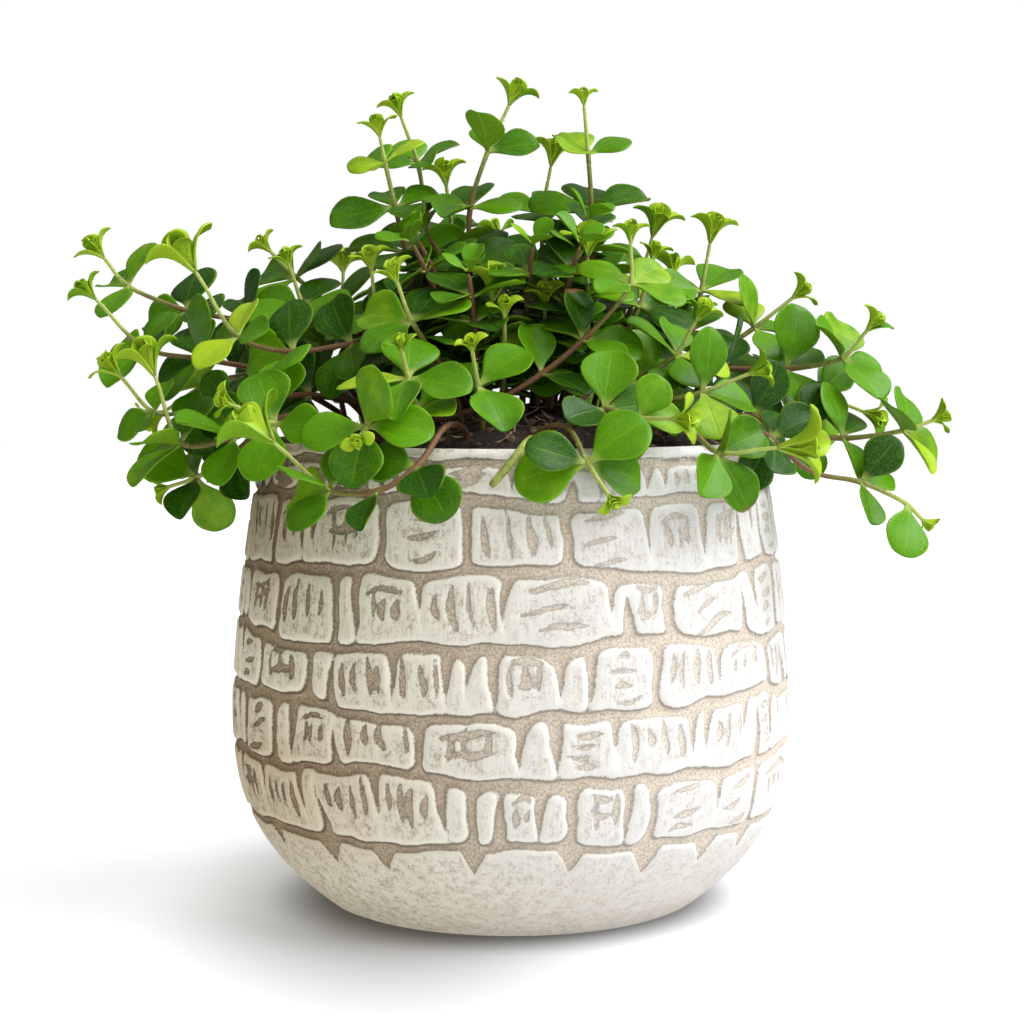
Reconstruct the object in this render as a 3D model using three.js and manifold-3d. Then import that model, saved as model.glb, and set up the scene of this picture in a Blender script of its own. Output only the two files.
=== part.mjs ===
// A bushy trailing plant in a round pot with a carved wall of raised blocks.
// Millimetres, +Z up, the pot's axis on Z and its foot flat on z = 0. The front is towards -Y.
// The plant is a rosette of leafy stems: whorls of round blades along each stem, and a bud at its end.

import * as THREE from "three";
import { mergeVertices } from "three/addons/utils/BufferGeometryUtils.js";
import Module from "manifold-3d";

const wasm = await Module();
wasm.setup();

const TURN = 2 * Math.PI;
const DEGREE = Math.PI / 180;

// Pot wall: it swells from the foot to the belly, then leans in to the rim
const FOOT_RADIUS = 52;
const BELLY_RADIUS = 79.9;
const BELLY_HEIGHT = 58;
const RIM_RADIUS = 71.2;
const RIM_HEIGHT = 131.2;
const LOWER_CURVE = 2.9;
const UPPER_CURVE = 1.5;
const WALL = 5;
const FLOOR = 6;
const LIP_WIDTH = 3;
const LIP_ROUND = 1.6;
const RING_POINTS = 40;
const INNER_LEVELS = [FLOOR, 20, BELLY_HEIGHT, RIM_HEIGHT - LIP_ROUND];

// Carved blocks: six rows between wavy groove lines, staggered from row to row
const LINE_HEIGHTS = [28.4, 46.9, 63.7, 80.6, 99, 118.5, 128];
const LINE_WAVES = [0.6, 1.1, 1, 1.1, 1.2, 0.8, 0];
const BLOCKS_PER_ROW = 21;
const JOINT_DRIFT = 0.17;
const GROOVE = 1.4;
const RELIEF = 1.2;
const NOTCH = 3;
const POT_SEED = 41;

// Soil: a mound that fills the pot, a little below the rim at the wall
const SOIL_EDGE = 128.5;
const SOIL_MOUND = 12;
const SOIL_RADIUS = 66;
const SOIL_RINGS = [44, 22];
const SEAT_GAP = 0.3;
const ROOT_DEPTH = 8;
const ROOT_RISE = 2;
const HOLE_SIDES = 6;
const HOLE_ROOM = 0.5;
const HOLE_RISE = 4;

// Stems and blades
const STEM_RADIUS = 1.15;
const STEM_END_RADIUS = 0.6;
const STEM_STEP = 13;
const SAMPLE_STEP = 3;
const BLADE_THICKNESS = 0.7;
const BLADE = { rows: [[0, 0], [0.58, 1], [0.95, 0.6]], arch: [[0, 0], [0.58, 0.04], [0.95, -0.03]] };
const BLADE_RATIOS = [0.72, 0.94];
const BLADE_SIZES = [0.9, 1.1];
const TURN_SPREAD = 16;
const LIFT_SPREAD = 16;
const TWIST_SPREAD = 36;
const YOUNG = { rows: [[0, 0], [0.55, 1], [1, 0]], arch: [[0, 0], [0.55, 0.04], [1, 0]] };
const YOUNG_RATIO = 0.55;
const COLLAR = 0.8;
const COLLAR_SWELL = 1.15;
const BUD_COLLAR = 0.3;
const BUD_POINT = 0.5;

// A bud's blades: turn and lift in degrees, and length as a share of the bud's size
const BUD_BLADES = [[20, 28, 1], [110, 50, 0.8], [200, 28, 0.95], [290, 50, 0.75]];

// Which of a collar's four facets carry blades, and each facet's turn, by the number of blades
const FACETS = [[], [0], [0, 2], [0, 1, 3], [0, 1, 2, 3]];
const FACET_TURNS = [[], [0], [0, 90, 180], [0, 108, 180, 252], [0, 90, 180, 270]];
const PLANT_SEED = 7;

// Blades lean towards the light: out over the near side, and back past the middle of the pot
const LIGHT_LEAN = [[-80, -0.8], [35, -0.6], [75, 0.4]];
const LIGHT_RISE = 0.8;
const LIGHT_SIDE = 0.003;
const LEAN_PULL = 0.7;
const FACE_PULL = 3.5;

// Room that a blade keeps from other blades, stems, the wall and the soil
const BLADE_ROOM = 1.05;
const EDGE_ROOM = 0.75;
const STEM_ROOM = 0.75;
const WALL_ROOM = 1.2;
const SOIL_ROOM = 1;
const OWN_STEM = 6;
const EDGE_SAMPLES = 6;
const NEAR = 4;
const SAME_POINT = 1e-5;

// What a blade tries in turn to find its room: more turn, more lift (degrees), scale
const TRIES = [
  [0, 0, 1], [0, 14, 1], [0, -14, 1], [12, 4, 1], [-12, 4, 1], [12, 16, 0.92], [-12, 16, 0.92],
  [18, -10, 0.9], [-18, -10, 0.9], [0, 28, 0.85], [22, 12, 0.85], [-22, 12, 0.85], [0, 38, 0.75],
  [22, 0, 0.75], [-22, 0, 0.75], [0, 0, 0.68],
];

// Each stem: its root on the soil [x, y], its whorls, and its bud [x, y, z, size, own colour or not].
// A whorl is [x, y, z, blades, first blade's turn, blade length, lift]; with no blades it only bends.
const STEMS = [
  { root: [-20, 12], bud: [-38, 18, 216, 8, true], whorls: [
    [-24, 14, 149, 4, 60, 16, 10], [-27, 15, 161, 4, 0, 16, 12], [-28, 15, 173, 4, 40, 17, 10],
    [-31, 16, 185, 4, 350, 18, 10], [-34, 17, 198, 4, 15, 18, 10], [-37, 18, 211, 4, 0, 12, 28]] },
  { root: [-14, 30], bud: [-32, 30, 223, 8, true], whorls: [
    [-18, 33, 155, 4, 0, 16, 12], [-22, 34, 172, 4, 50, 16, 12], [-25, 34, 190, 4, 10, 16, 12],
    [-28, 32, 212, 4, 10, 14, 32]] },
  { root: [-8, 20], bud: [-19, 26, 202, 9, false], whorls: [
    [-10, 23, 154, 4, 10, 16, 12], [-14, 26, 170, 4, 30, 16, 12], [-17, 27, 187, 4, 0, 15, 14]] },
  { root: [-8, 0], bud: [-2, 8, 224, 9, true], whorls: [
    [-10, 1, 152, 4, 20, 16, 12], [-11, 2, 167, 4, 70, 16, 12], [-12, 4, 181, 4, 30, 16, 12],
    [-12, 5, 197, 4, 345, 16, 16], [-7, 6, 213, 3, 0, 16, 32]] },
  { root: [14, 4], bud: [21, 13, 225, 6, true], whorls: [
    [18, 6, 151, 4, 0, 16, 12], [21, 8, 166, 4, 45, 16, 12], [23, 10, 182, 4, 10, 16, 12],
    [23, 11, 197, 4, 0, 17, 16], [22, 12, 213, 3, 0, 15, 30]] },
  { root: [6, 24], bud: [11, 30, 208, 10, true], whorls: [
    [7, 27, 157, 4, 40, 16, 12], [8, 29, 171, 4, 0, 16, 12], [9, 30, 184, 4, 60, 16, 12],
    [9, 30, 197, 4, 350, 16, 14]] },
  { root: [24, 28], bud: [41, 33, 187, 11, true], whorls: [
    [29, 31, 153, 4, 0, 16, 12], [34, 33, 165, 4, 40, 16, 12], [38, 34, 176, 4, 350, 15, 14]] },
  { root: [36, 22], bud: [58, 26, 185, 10, true], whorls: [
    [45, 25, 151, 4, 20, 16, 12], [53, 26, 162, 4, 0, 17, 12], [56, 26, 174, 4, 325, 16, 12]] },
  { root: [-7, -18], bud: [-6, -24, 166, 12, false], whorls: [
    [-7, -20, 149, 4, 200, 16, 12], [-7, -23, 159, 4, 250, 14, 16]] },
  { root: [18, -8], bud: [21, -15, 179, 11, true], whorls: [
    [20, -10, 149, 4, 300, 16, 12], [21, -13, 160, 4, 240, 15, 12], [21, -14, 171, 4, 270, 13, 16]] },
  { root: [-24, -41], bud: [32, -34, 183, 7, false], whorls: [
    [-15, -42, 139, 0], [-4, -41, 143, 0], [8, -38, 150, 3, 100, 16, 16], [19, -36, 159, 4, 300, 16, 14],
    [32, -34, 174, 4, 335, 16, 10]] },
  { root: [27, -18], bud: [49, -24, 162, 8, false], whorls: [
    [35, -22, 148, 4, 330, 16, 12], [45, -24, 155, 4, 20, 16, 14]] },
  { root: [36, 4], bud: [99, -3, 160, 8, false], whorls: [
    [46, 3, 147, 3, 0, 16, 14], [60, 2, 151, 4, 40, 17, 14], [78, 0, 151, 4, 20, 18, 14],
    [94, -2, 154, 4, 45, 17, 16]] },
  { root: [48, -12], bud: [115, -15, 136, 7, false], whorls: [
    [57, -16, 138, 0], [67, -18, 138, 4, 30, 17, 14], [80, -18, 134, 2, 0, 15, 14],
    [92, -18, 132, 4, 10, 18, 14], [109, -16, 134, 4, 40, 17, 14]] },
  { root: [42, -32], bud: [110, -35, 112, 5, false], whorls: [
    [57, -39, 138, 0], [69, -42, 133, 4, 0, 16, 14], [80, -41, 124, 0], [94, -38, 121, 3, 20, 16, 14],
    [107, -36, 115, 1, 180, 18, 0]] },
  { root: [36, -44], bud: [64, -65, 131, 14, true], whorls: [
    [44, -55, 138, 0], [53, -63, 130, 4, 30, 17, 14]] },
  { root: [15, -49], bud: [38, -69, 139, 9, false], whorls: [
    [24, -59, 141, 4, 0, 17, 14], [32, -66, 139, 3, 0, 14, 14]] },
  { root: [6, -55], bud: [23, -87, 122, 6, false], whorls: [
    [14, -68, 137, 0], [19, -79, 128, 4, 45, 18, -12]] },
  { root: [-42, -4], bud: [-116, -4, 169, 8, true], whorls: [
    [-54, -4, 147, 4, 60, 16, 14], [-71, -4, 151, 4, 0, 17, 14], [-88, -4, 154, 4, 60, 17, 14],
    [-104, -4, 157, 4, 20, 15, 14]] },
  { root: [-42, 16], bud: [-117, 16, 181, 9, false], whorls: [
    [-60, 20, 157, 4, 0, 16, 14], [-78, 20, 165, 4, 60, 16, 14], [-95, 18, 168, 4, 30, 17, 14],
    [-112, 16, 175, 3, 0, 15, 16]] },
  { root: [-17, -17], bud: [-84, -26, 174, 14, true], whorls: [
    [-30, -21, 156, 3, 30, 16, 14], [-44, -24, 158, 4, 0, 17, 14], [-60, -26, 156, 4, 20, 18, 14],
    [-75, -26, 160, 4, 40, 15, 14]] },
  { root: [-44, -24], bud: [-96, -30, 146, 12, true], whorls: [
    [-60, -33, 139, 0], [-75, -34, 133, 4, 40, 17, 14], [-90, -32, 131, 4, 20, 18, 12]] },
  { root: [-52, -13], bud: [-94, -14, 119, 6, false], whorls: [
    [-66, -15, 138, 0], [-77, -17, 128, 3, 150, 17, 14], [-88, -16, 121, 4, 60, 17, 14]] },
  { root: [-36, -14], bud: [-106, -22, 147, 9, false], whorls: [
    [-56, -18, 144, 4, 60, 16, 14], [-78, -19, 142, 3, 0, 16, 14], [-99, -21, 139, 3, 30, 13, 14]] },
  { root: [-12, -52], bud: [-57, -73, 130, 15, true], whorls: [
    [-17, -66, 137, 0], [-24, -77, 127, 3, 320, 16, 14], [-34, -79, 121, 2, 60, 13, 14],
    [-46, -76, 121, 4, 30, 16, 14]] },
  { root: [-22, -51], bud: [-28, -60, 154, 6, false], whorls: [
    [-25, -56, 141, 4, 220, 16, 12], [-27, -58, 149, 4, 0, 19, 10]] },
  { root: [-14, -30], bud: [-30, -34, 172, 8, false], whorls: [
    [-19, -33, 152, 4, 200, 16, 12], [-27, -34, 164, 4, 230, 17, 12]] },
  { root: [28, -32], bud: [61, -37, 149, 8, false], whorls: [
    [38, -35, 142, 3, 60, 16, 14], [51, -37, 145, 4, 30, 18, 14]] },
  { root: [-34, -44], bud: [-38, -78, 135, 6, false], whorls: [
    [-36, -58, 139, 0], [-37, -70, 137, 4, 0, 18, 12]] },
  { root: [-30, 24], bud: [-70, 29, 184, 7, false], whorls: [
    [-40, 26, 156, 4, 40, 16, 12], [-52, 28, 168, 4, 0, 18, 12], [-64, 28, 178, 4, 200, 18, 12]] },
  { root: [-28, -5], bud: [-39, -11, 176, 8, false], whorls: [
    [-33, -8, 153, 4, 200, 16, 12], [-38, -10, 167, 4, 230, 19, 12]] },
  { root: [7, -12], bud: [9, -20, 166, 8, false], whorls: [
    [8, -15, 150, 4, 260, 16, 12], [9, -18, 160, 4, 220, 15, 12]] },
  { root: [-3, -30], bud: [-2, -36, 163, 7, false], whorls: [[-2, -33, 154, 4, 240, 17, 12]] },
  { root: [-48, 4], bud: [-63, 6, 178, 7, false], whorls: [
    [-54, 6, 158, 4, 0, 17, 12], [-60, 6, 169, 4, 45, 17, 12]] },
  { root: [26, 12], bud: [40, 12, 180, 7, false], whorls: [
    [31, 12, 156, 4, 20, 17, 12], [37, 12, 169, 4, 60, 17, 12]] },
  { root: [-44, -36], bud: [-70, -58, 141, 7, false], whorls: [
    [-53, -46, 139, 0], [-62, -54, 137, 4, 20, 17, 12]] },
  { root: [50, 13], bud: [80, 19, 170, 8, false], whorls: [
    [60, 17, 155, 4, 0, 17, 12], [71, 18, 163, 4, 45, 17, 12]] },
  { root: [-8, -43], bud: [-10, -57, 154, 6, false], whorls: [[-9, -53, 147, 4, 30, 17, 12]] },
];

// The side away from the front, by rule: short stems fan out, every other one taller
const BACK_STEMS = 7;
const BACK_FAN = [8, 172];
const BACK_ROOT = 50;
const BACK_LOW = [[66, 146], [82, 150], [98, 144], [106, 141]];
const BACK_HIGH = [[56, 155], [62, 170], [67, 183], [70, 190]];
const BACK_DROOP = 0.25;
const BACK_DRIFT = 6;
const BACK_SWAY = 0.1;
const BACK_HEAVE = 4;
const BACK_BLADE = 16;
const BACK_LIFT = 14;
const BACK_BUD = 9;

const COLORS = {
  pot: ["#dcd9cb", 0.78], soil: ["#3d2a1d", 0.95], stem: ["#2f7a1c", 0.42], bud: ["#9ecb35", 0.45],
};

function draws(seed) {
  let state = seed;
  return () => {
    state = (state * 1664525 + 1013904223) % 4294967296;
    return state / 4294967296;
  };
}

function between(value, low, high) {
  return Math.min(Math.max(value, low), high);
}

function mix([from, to], share) {
  return from + (to - from) * share;
}

function fromTable(rows, at) {
  let previous = rows[0];
  for (const row of rows) {
    if (at <= row[0]) {
      const share = row[0] > previous[0] ? (at - previous[0]) / (row[0] - previous[0]) : 0;
      return previous[1] + (row[1] - previous[1]) * between(share, 0, 1);
    }
    previous = row;
  }
  return previous[1];
}

function meshOf(name, geometry, [color, roughness]) {
  const mesh = new THREE.Mesh(geometry, new THREE.MeshStandardMaterial({ color, roughness }));
  mesh.name = name;
  return mesh;
}

function geometryOf(points, faces) {
  const geometry = new THREE.BufferGeometry();
  geometry.setAttribute("position", new THREE.Float32BufferAttribute(points.flat(), 3));
  geometry.setIndex(faces.flat());
  return geometry;
}

function solidOf(geometry) {
  const bare = geometry.clone();
  bare.deleteAttribute("normal");
  bare.deleteAttribute("uv");
  const merged = mergeVertices(bare, 1e-4);
  return new wasm.Manifold(new wasm.Mesh({
    numProp: 3,
    vertProperties: new Float32Array(merged.attributes.position.array),
    triVerts: new Uint32Array(merged.index.array),
  }));
}

function geometryOfSolid(solid) {
  const { vertProperties, triVerts } = solid.getMesh();
  const geometry = new THREE.BufferGeometry();
  geometry.setAttribute("position", new THREE.BufferAttribute(new Float32Array(vertProperties), 3));
  geometry.setIndex(new THREE.BufferAttribute(new Uint32Array(triVerts), 1));
  return geometry;
}

function potRadius(z) {
  if (z < BELLY_HEIGHT) {
    const drop = ((BELLY_HEIGHT - z) / BELLY_HEIGHT) ** LOWER_CURVE;
    return BELLY_RADIUS - (BELLY_RADIUS - FOOT_RADIUS) * drop;
  }
  const rise = ((z - BELLY_HEIGHT) / (RIM_HEIGHT - BELLY_HEIGHT)) ** UPPER_CURVE;
  return BELLY_RADIUS - (BELLY_RADIUS - RIM_RADIUS) * rise;
}

function innerRadius(z) {
  return fromTable(INNER_LEVELS.map((level) => [level, potRadius(level) - WALL]), z);
}

// A skin is sewn ring by ring, from the middle of the foot, up the outside and down the inside
class Skin {
  constructor() {
    this.points = [];
    this.faces = [];
  }

  point(angle, radius, z) {
    this.points.push([radius * Math.cos(angle), radius * Math.sin(angle), z]);
    return { angle, z, id: this.points.length - 1 };
  }

  ring(radius, z) {
    return Array.from({ length: RING_POINTS }, (_, k) => this.point((TURN * k) / RING_POINTS, radius, z));
  }

  // Triangles between two open runs of points, each sorted by angle
  sew(near, far) {
    let i = 0;
    let j = 0;
    while (i < near.length - 1 || j < far.length - 1) {
      const nearNext = i < near.length - 1 ? near[i + 1].angle : Infinity;
      const farNext = j < far.length - 1 ? far[j + 1].angle : Infinity;
      if (nearNext <= farNext) {
        this.faces.push([near[i].id, near[i + 1].id, far[j].id]);
        i += 1;
      } else {
        this.faces.push([near[i].id, far[j + 1].id, far[j].id]);
        j += 1;
      }
    }
  }

  sewRings(near, far) {
    this.sew(closedRing(near), closedRing(far));
  }

  // Quads between two loops with as many points each
  bevel(outer, inner) {
    outer.forEach((corner, k) => {
      const next = (k + 1) % outer.length;
      this.faces.push([corner.id, outer[next].id, inner[next].id]);
      this.faces.push([corner.id, inner[next].id, inner[k].id]);
    });
  }
}

function closedRing(ring) {
  return ring.length > 1 ? [...ring, { ...ring[0], angle: ring[0].angle + TURN }] : ring;
}

// The upright joints between the blocks of each row, in order round the pot
function rowJoints() {
  const draw = draws(POT_SEED);
  return LINE_HEIGHTS.slice(1).map((_, row) =>
    Array.from({ length: BLOCKS_PER_ROW }, (__, k) => {
      const drift = (2 * draw() - 1) * JOINT_DRIFT;
      return (TURN * (k + 0.25 + 0.5 * (row % 2) + drift)) / BLOCKS_PER_ROW;
    }));
}

function lineHeight(line, angle) {
  const wave = Math.sin(3 * angle + 1.7 * line) + 0.6 * Math.sin(7 * angle + 2.9 * line);
  return LINE_HEIGHTS[line] + LINE_WAVES[line] * wave;
}

function middles(joints) {
  return joints.map((angle, k) => (angle + (k + 1 < joints.length ? joints[k + 1] : joints[0] + TURN)) / 2);
}

// A groove line takes a point at each joint of the rows below and above it
function grooveLine(skin, line, joints) {
  const last = LINE_HEIGHTS.length - 1;
  const below = line > 0 ? joints[line - 1] : middles(joints[0]);
  const above = line < last ? joints[line] : middles(joints[last - 1]);
  const angles = [...below, ...above].map((angle) => angle % TURN).sort((a, b) => a - b);
  return angles.map((angle) => {
    const notch = line === 0 && joints[0].some((joint) => Math.abs((joint % TURN) - angle) < 1e-6);
    const z = lineHeight(line, angle) - (notch ? NOTCH : 0);
    return skin.point(angle, potRadius(z) - RELIEF, z);
  });
}

function stretch(line, from, to) {
  const twice = [...line, ...line.map((point) => ({ ...point, angle: point.angle + TURN }))];
  return twice.filter((point) => point.angle > from - 1e-6 && point.angle < to + 1e-6);
}

function addBlock(skin, below, above, from, to) {
  const raise = (point, side) => {
    const z = point.z + side * GROOVE;
    const radius = potRadius(z);
    const turn = GROOVE / radius;
    return skin.point(between(point.angle, from + turn, to - turn), radius, z);
  };
  const low = below.map((point) => raise(point, 1));
  const high = above.map((point) => raise(point, -1));
  skin.bevel([...below, ...above.toReversed()], [...low, ...high.toReversed()]);
  skin.sew(low, high);
}

function addCarving(skin) {
  const joints = rowJoints();
  const lines = LINE_HEIGHTS.map((_, line) => grooveLine(skin, line, joints));
  joints.forEach((row, k) => {
    row.forEach((from, n) => {
      const to = n + 1 < row.length ? row[n + 1] : row[0] + TURN;
      addBlock(skin, stretch(lines[k], from, to), stretch(lines[k + 1], from, to), from, to);
    });
  });
  return [lines[0], lines[lines.length - 1]];
}

function makePot() {
  const skin = new Skin();
  const [firstLine, lastLine] = addCarving(skin);
  const bandTop = firstLine.map(({ angle, z }) => skin.point(angle, potRadius(z - GROOVE), z - GROOVE));
  const lip = RIM_HEIGHT - LIP_ROUND;
  const rings = [
    [skin.point(0, 0, 0)],
    skin.ring(FOOT_RADIUS, 0),
    ...[4, 12].map((z) => skin.ring(potRadius(z), z)),
    bandTop,
    firstLine,
  ];
  const upper = [
    lastLine,
    skin.ring(potRadius(lip), lip),
    skin.ring(RIM_RADIUS - LIP_ROUND / 2, RIM_HEIGHT),
    skin.ring(RIM_RADIUS - LIP_ROUND / 2 - LIP_WIDTH, RIM_HEIGHT),
    ...INNER_LEVELS.toReversed().map((z) => skin.ring(innerRadius(z), z)),
    [skin.point(0, 0, FLOOR)],
  ];
  for (const run of [rings, upper]) {
    run.slice(1).forEach((ring, k) => skin.sewRings(run[k], ring));
  }
  return meshOf("pot", geometryOf(skin.points, skin.faces), COLORS.pot);
}

function soilHeight(x, y) {
  return SOIL_EDGE + SOIL_MOUND * (1 - (x * x + y * y) / (SOIL_RADIUS * SOIL_RADIUS));
}

function uprightCylinder(radius, bottom, top, sides, x, y) {
  const geometry = new THREE.CylinderGeometry(radius, radius, top - bottom, sides);
  return geometry.rotateX(Math.PI / 2).translate(x, y, (top + bottom) / 2);
}

function makeSoil(plant) {
  const walls = [FLOOR + SEAT_GAP, ...INNER_LEVELS.slice(1, -1), SOIL_EDGE];
  const profile = [
    [0, walls[0]],
    ...walls.map((z) => [innerRadius(z) - SEAT_GAP, z]),
    ...SOIL_RINGS.map((radius) => [radius, soilHeight(radius, 0)]),
    [0, soilHeight(0, 0)],
  ].map(([radius, z]) => new THREE.Vector2(radius, z));
  const mound = solidOf(new THREE.LatheGeometry(profile, RING_POINTS).rotateX(Math.PI / 2));
  const holes = plant.map(({ root: [x, y] }) => {
    const ground = soilHeight(x, y);
    const bottom = ground - ROOT_DEPTH - SEAT_GAP;
    return solidOf(uprightCylinder(STEM_RADIUS + HOLE_ROOM, bottom, ground + HOLE_RISE, HOLE_SIDES, x, y));
  });
  return meshOf("soil", geometryOfSolid(mound.subtract(wasm.Manifold.union(holes))), COLORS.soil);
}

// Points and tangents along a stem: a smooth curve through its root, whorls and end
function stemCurve(points, step) {
  const tangents = points.map((point, k) => {
    const before = points[Math.max(k - 1, 0)];
    const after = points[Math.min(k + 1, points.length - 1)];
    return after.clone().sub(before).divideScalar(after.distanceTo(point) + point.distanceTo(before));
  });
  const samples = [];
  points.slice(1).forEach((to, k) => {
    const from = points[k];
    const length = from.distanceTo(to);
    const pieces = k === 0 ? 1 : Math.max(1, Math.round(length / step));
    for (let n = 0; n < pieces; n += 1) {
      const u = n / pieces;
      const place = k === 0 ? from.clone() : hermite(from, tangents[k], to, tangents[k + 1], length, u);
      samples.push({ place, node: n === 0 ? k : -1 });
    }
  });
  samples.push({ place: points[points.length - 1].clone(), node: points.length - 1 });
  samples.forEach((sample, k) => {
    const before = samples[Math.max(k - 1, 0)].place;
    const after = samples[Math.min(k + 1, samples.length - 1)].place;
    sample.tangent = after.clone().sub(before).normalize();
  });
  return samples;
}

function hermite(from, fromTangent, to, toTangent, length, u) {
  const v = 1 - u;
  return new THREE.Vector3()
    .addScaledVector(from, v * v * (1 + 2 * u))
    .addScaledVector(fromTangent, u * v * v * length)
    .addScaledVector(to, u * u * (3 - 2 * u))
    .addScaledVector(toTangent, -u * u * v * length);
}

function stemRadius(share) {
  return mix([STEM_RADIUS, STEM_END_RADIUS], share);
}

function backStems() {
  const draw = draws(PLANT_SEED);
  return Array.from({ length: BACK_STEMS }, (_, k) => {
    const angle = (mix(BACK_FAN, (k + 0.5) / BACK_STEMS) + BACK_DRIFT * (draw() - 0.5)) * DEGREE;
    const rows = k % 2 ? BACK_HIGH : BACK_LOW;
    const places = rows.map(([radius, z]) => {
      const sway = angle + BACK_SWAY * (draw() - 0.5);
      const x = radius * Math.cos(sway);
      const droop = BACK_DROOP * Math.abs(x) * (k % 2);
      return [x, radius * Math.sin(sway), z - droop + BACK_HEAVE * (draw() - 0.5)];
    });
    const end = places.pop();
    const whorls = places.map((place) => [...place, 4, Math.floor(360 * draw()), BACK_BLADE, BACK_LIFT]);
    const root = [BACK_ROOT * Math.cos(angle), BACK_ROOT * Math.sin(angle)];
    return { root, whorls, bud: [...end, BACK_BUD, false] };
  });
}

function layStem({ root: [x, y], whorls, bud }, number) {
  const ground = soilHeight(x, y);
  const points = [
    new THREE.Vector3(x, y, ground - ROOT_DEPTH),
    new THREE.Vector3(x, y, ground + ROOT_RISE),
    ...whorls.map(([wx, wy, wz]) => new THREE.Vector3(wx, wy, wz)),
    new THREE.Vector3(bud[0], bud[1], bud[2]),
  ];
  const samples = stemCurve(points, STEM_STEP);
  samples.forEach((sample, k) => {
    sample.radius = stemRadius(k / (samples.length - 1));
  });
  const name = String(number + 1).padStart(2, "0");
  const stem = { number: name, root: [x, y], whorls, bud, samples, leaves: [] };
  stem.fine = stemCurve(points, SAMPLE_STEP);
  stem.budLeaves = growBud(stem);
  stem.tube = stemSkin(stem).triangles();
  return stem;
}

function lightAt({ x, y }) {
  return new THREE.Vector3(LIGHT_SIDE * x, fromTable(LIGHT_LEAN, y), LIGHT_RISE).normalize();
}

// A blade's own axes: along it, across it and up out of its upper face
function bladeFrame(place, tangent, turn, lift) {
  const [first, second] = roundAxes(tangent);
  const outward = first.multiplyScalar(Math.cos(turn)).addScaledVector(second, Math.sin(turn));
  const along = outward.clone().multiplyScalar(Math.cos(lift)).addScaledVector(tangent, Math.sin(lift));
  const up = tangent.clone().multiplyScalar(Math.cos(lift)).addScaledVector(outward, -Math.sin(lift));
  return { place, along, across: up.clone().cross(along), up };
}

// A grown blade leans towards the light and is a little twisted
function leaningFrame(place, tangent, turn, lift, twist) {
  const { along, up } = bladeFrame(place, tangent, turn, lift);
  const light = lightAt(place);
  along.addScaledVector(light, -LEAN_PULL * along.dot(light) * Math.cos(lift)).normalize();
  up.addScaledVector(light, FACE_PULL);
  up.addScaledVector(along, -up.dot(along)).normalize();
  const across = up.clone().cross(along);
  up.multiplyScalar(Math.cos(twist)).addScaledVector(across, Math.sin(twist));
  return { place, along, across: up.clone().cross(along), up };
}

// Two axes square to a stem, from which a blade's turn is counted
function roundAxes(tangent) {
  const guide = Math.abs(tangent.x) > 0.8 ? new THREE.Vector3(0, 0, 1) : new THREE.Vector3(1, 0, 0);
  const first = guide.addScaledVector(tangent, -guide.dot(tangent)).normalize();
  return [first, tangent.clone().cross(first)];
}

function local(leaf, point) {
  const offset = point.clone().sub(leaf.place);
  const x = offset.dot(leaf.along);
  const height = offset.dot(leaf.up) - leaf.length * fromTable(leaf.shape.arch, x / leaf.length);
  return [x, offset.dot(leaf.across), height];
}

function insideOutline(leaf, x, y, room) {
  const { rows } = leaf.shape;
  const reach = rows[rows.length - 1][0] * leaf.length;
  if (x < -room || x > reach + room) {
    return false;
  }
  return Math.abs(y) < (leaf.width / 2) * fromTable(rows, x / leaf.length) + room;
}

function spotOn(leaf, share, side, height) {
  return leaf.place.clone()
    .addScaledVector(leaf.along, share * leaf.length)
    .addScaledVector(leaf.across, (side * leaf.width) / 2)
    .addScaledVector(leaf.up, leaf.length * fromTable(leaf.shape.arch, share) + height);
}

function makeLeaf(frame, shape, length, ratio, extra) {
  const leaf = { ...frame, ...extra, shape, length, width: length * ratio };
  const right = shape.rows.slice(1).map(([share, wide]) => spotOn(leaf, share, -wide, 0));
  const left = shape.rows.slice(1).filter((row) => row[1] > 0);
  leaf.rim = [...right, ...left.map(([share, wide]) => spotOn(leaf, share, wide, 0)).toReversed()];
  leaf.middle = spotOn(leaf, 0.5, 0, 0);
  return leaf;
}

function edgeMeets(leaf, from, to) {
  const [x0, y0, h0] = local(leaf, from);
  const [x1, y1, h1] = local(leaf, to);
  for (let n = 0; n <= EDGE_SAMPLES; n += 1) {
    const u = n / EDGE_SAMPLES;
    if (Math.abs(h0 + (h1 - h0) * u) < BLADE_ROOM
      && insideOutline(leaf, x0 + (x1 - x0) * u, y0 + (y1 - y0) * u, EDGE_ROOM)) {
      return true;
    }
  }
  const u = h0 / (h0 - h1);
  return h0 * h1 < 0 && insideOutline(leaf, x0 + (x1 - x0) * u, y0 + (y1 - y0) * u, EDGE_ROOM);
}

function rimMeets(leaf, other) {
  return other.rim.some((corner, k) => edgeMeets(leaf, corner, other.rim[(k + 1) % other.rim.length]));
}

// Blades of one whorl share their collar, so only their rims are compared
function leavesMeet(leaf, other) {
  if (leaf.middle.distanceTo(other.middle) > (leaf.length + other.length) / 2 + NEAR / 2) {
    return false;
  }
  if (rimMeets(leaf, other) || rimMeets(other, leaf)) {
    return true;
  }
  return leaf.whorl !== other.whorl
    && (edgeMeets(leaf, other.place, other.middle) || edgeMeets(other, leaf.place, leaf.middle));
}

function meetsStem(leaf, stem) {
  return stem.fine.some((sample, k) => {
    if (sample.place.distanceTo(leaf.middle) > leaf.length / 2 + NEAR) {
      return false;
    }
    if (stem === leaf.stem && sample.place.distanceTo(leaf.place) < OWN_STEM) {
      return false;
    }
    const room = STEM_ROOM + stemRadius(k / stem.fine.length);
    const [x, y, height] = local(leaf, sample.place);
    return Math.abs(height) < room && insideOutline(leaf, x, y, room);
  });
}

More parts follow.
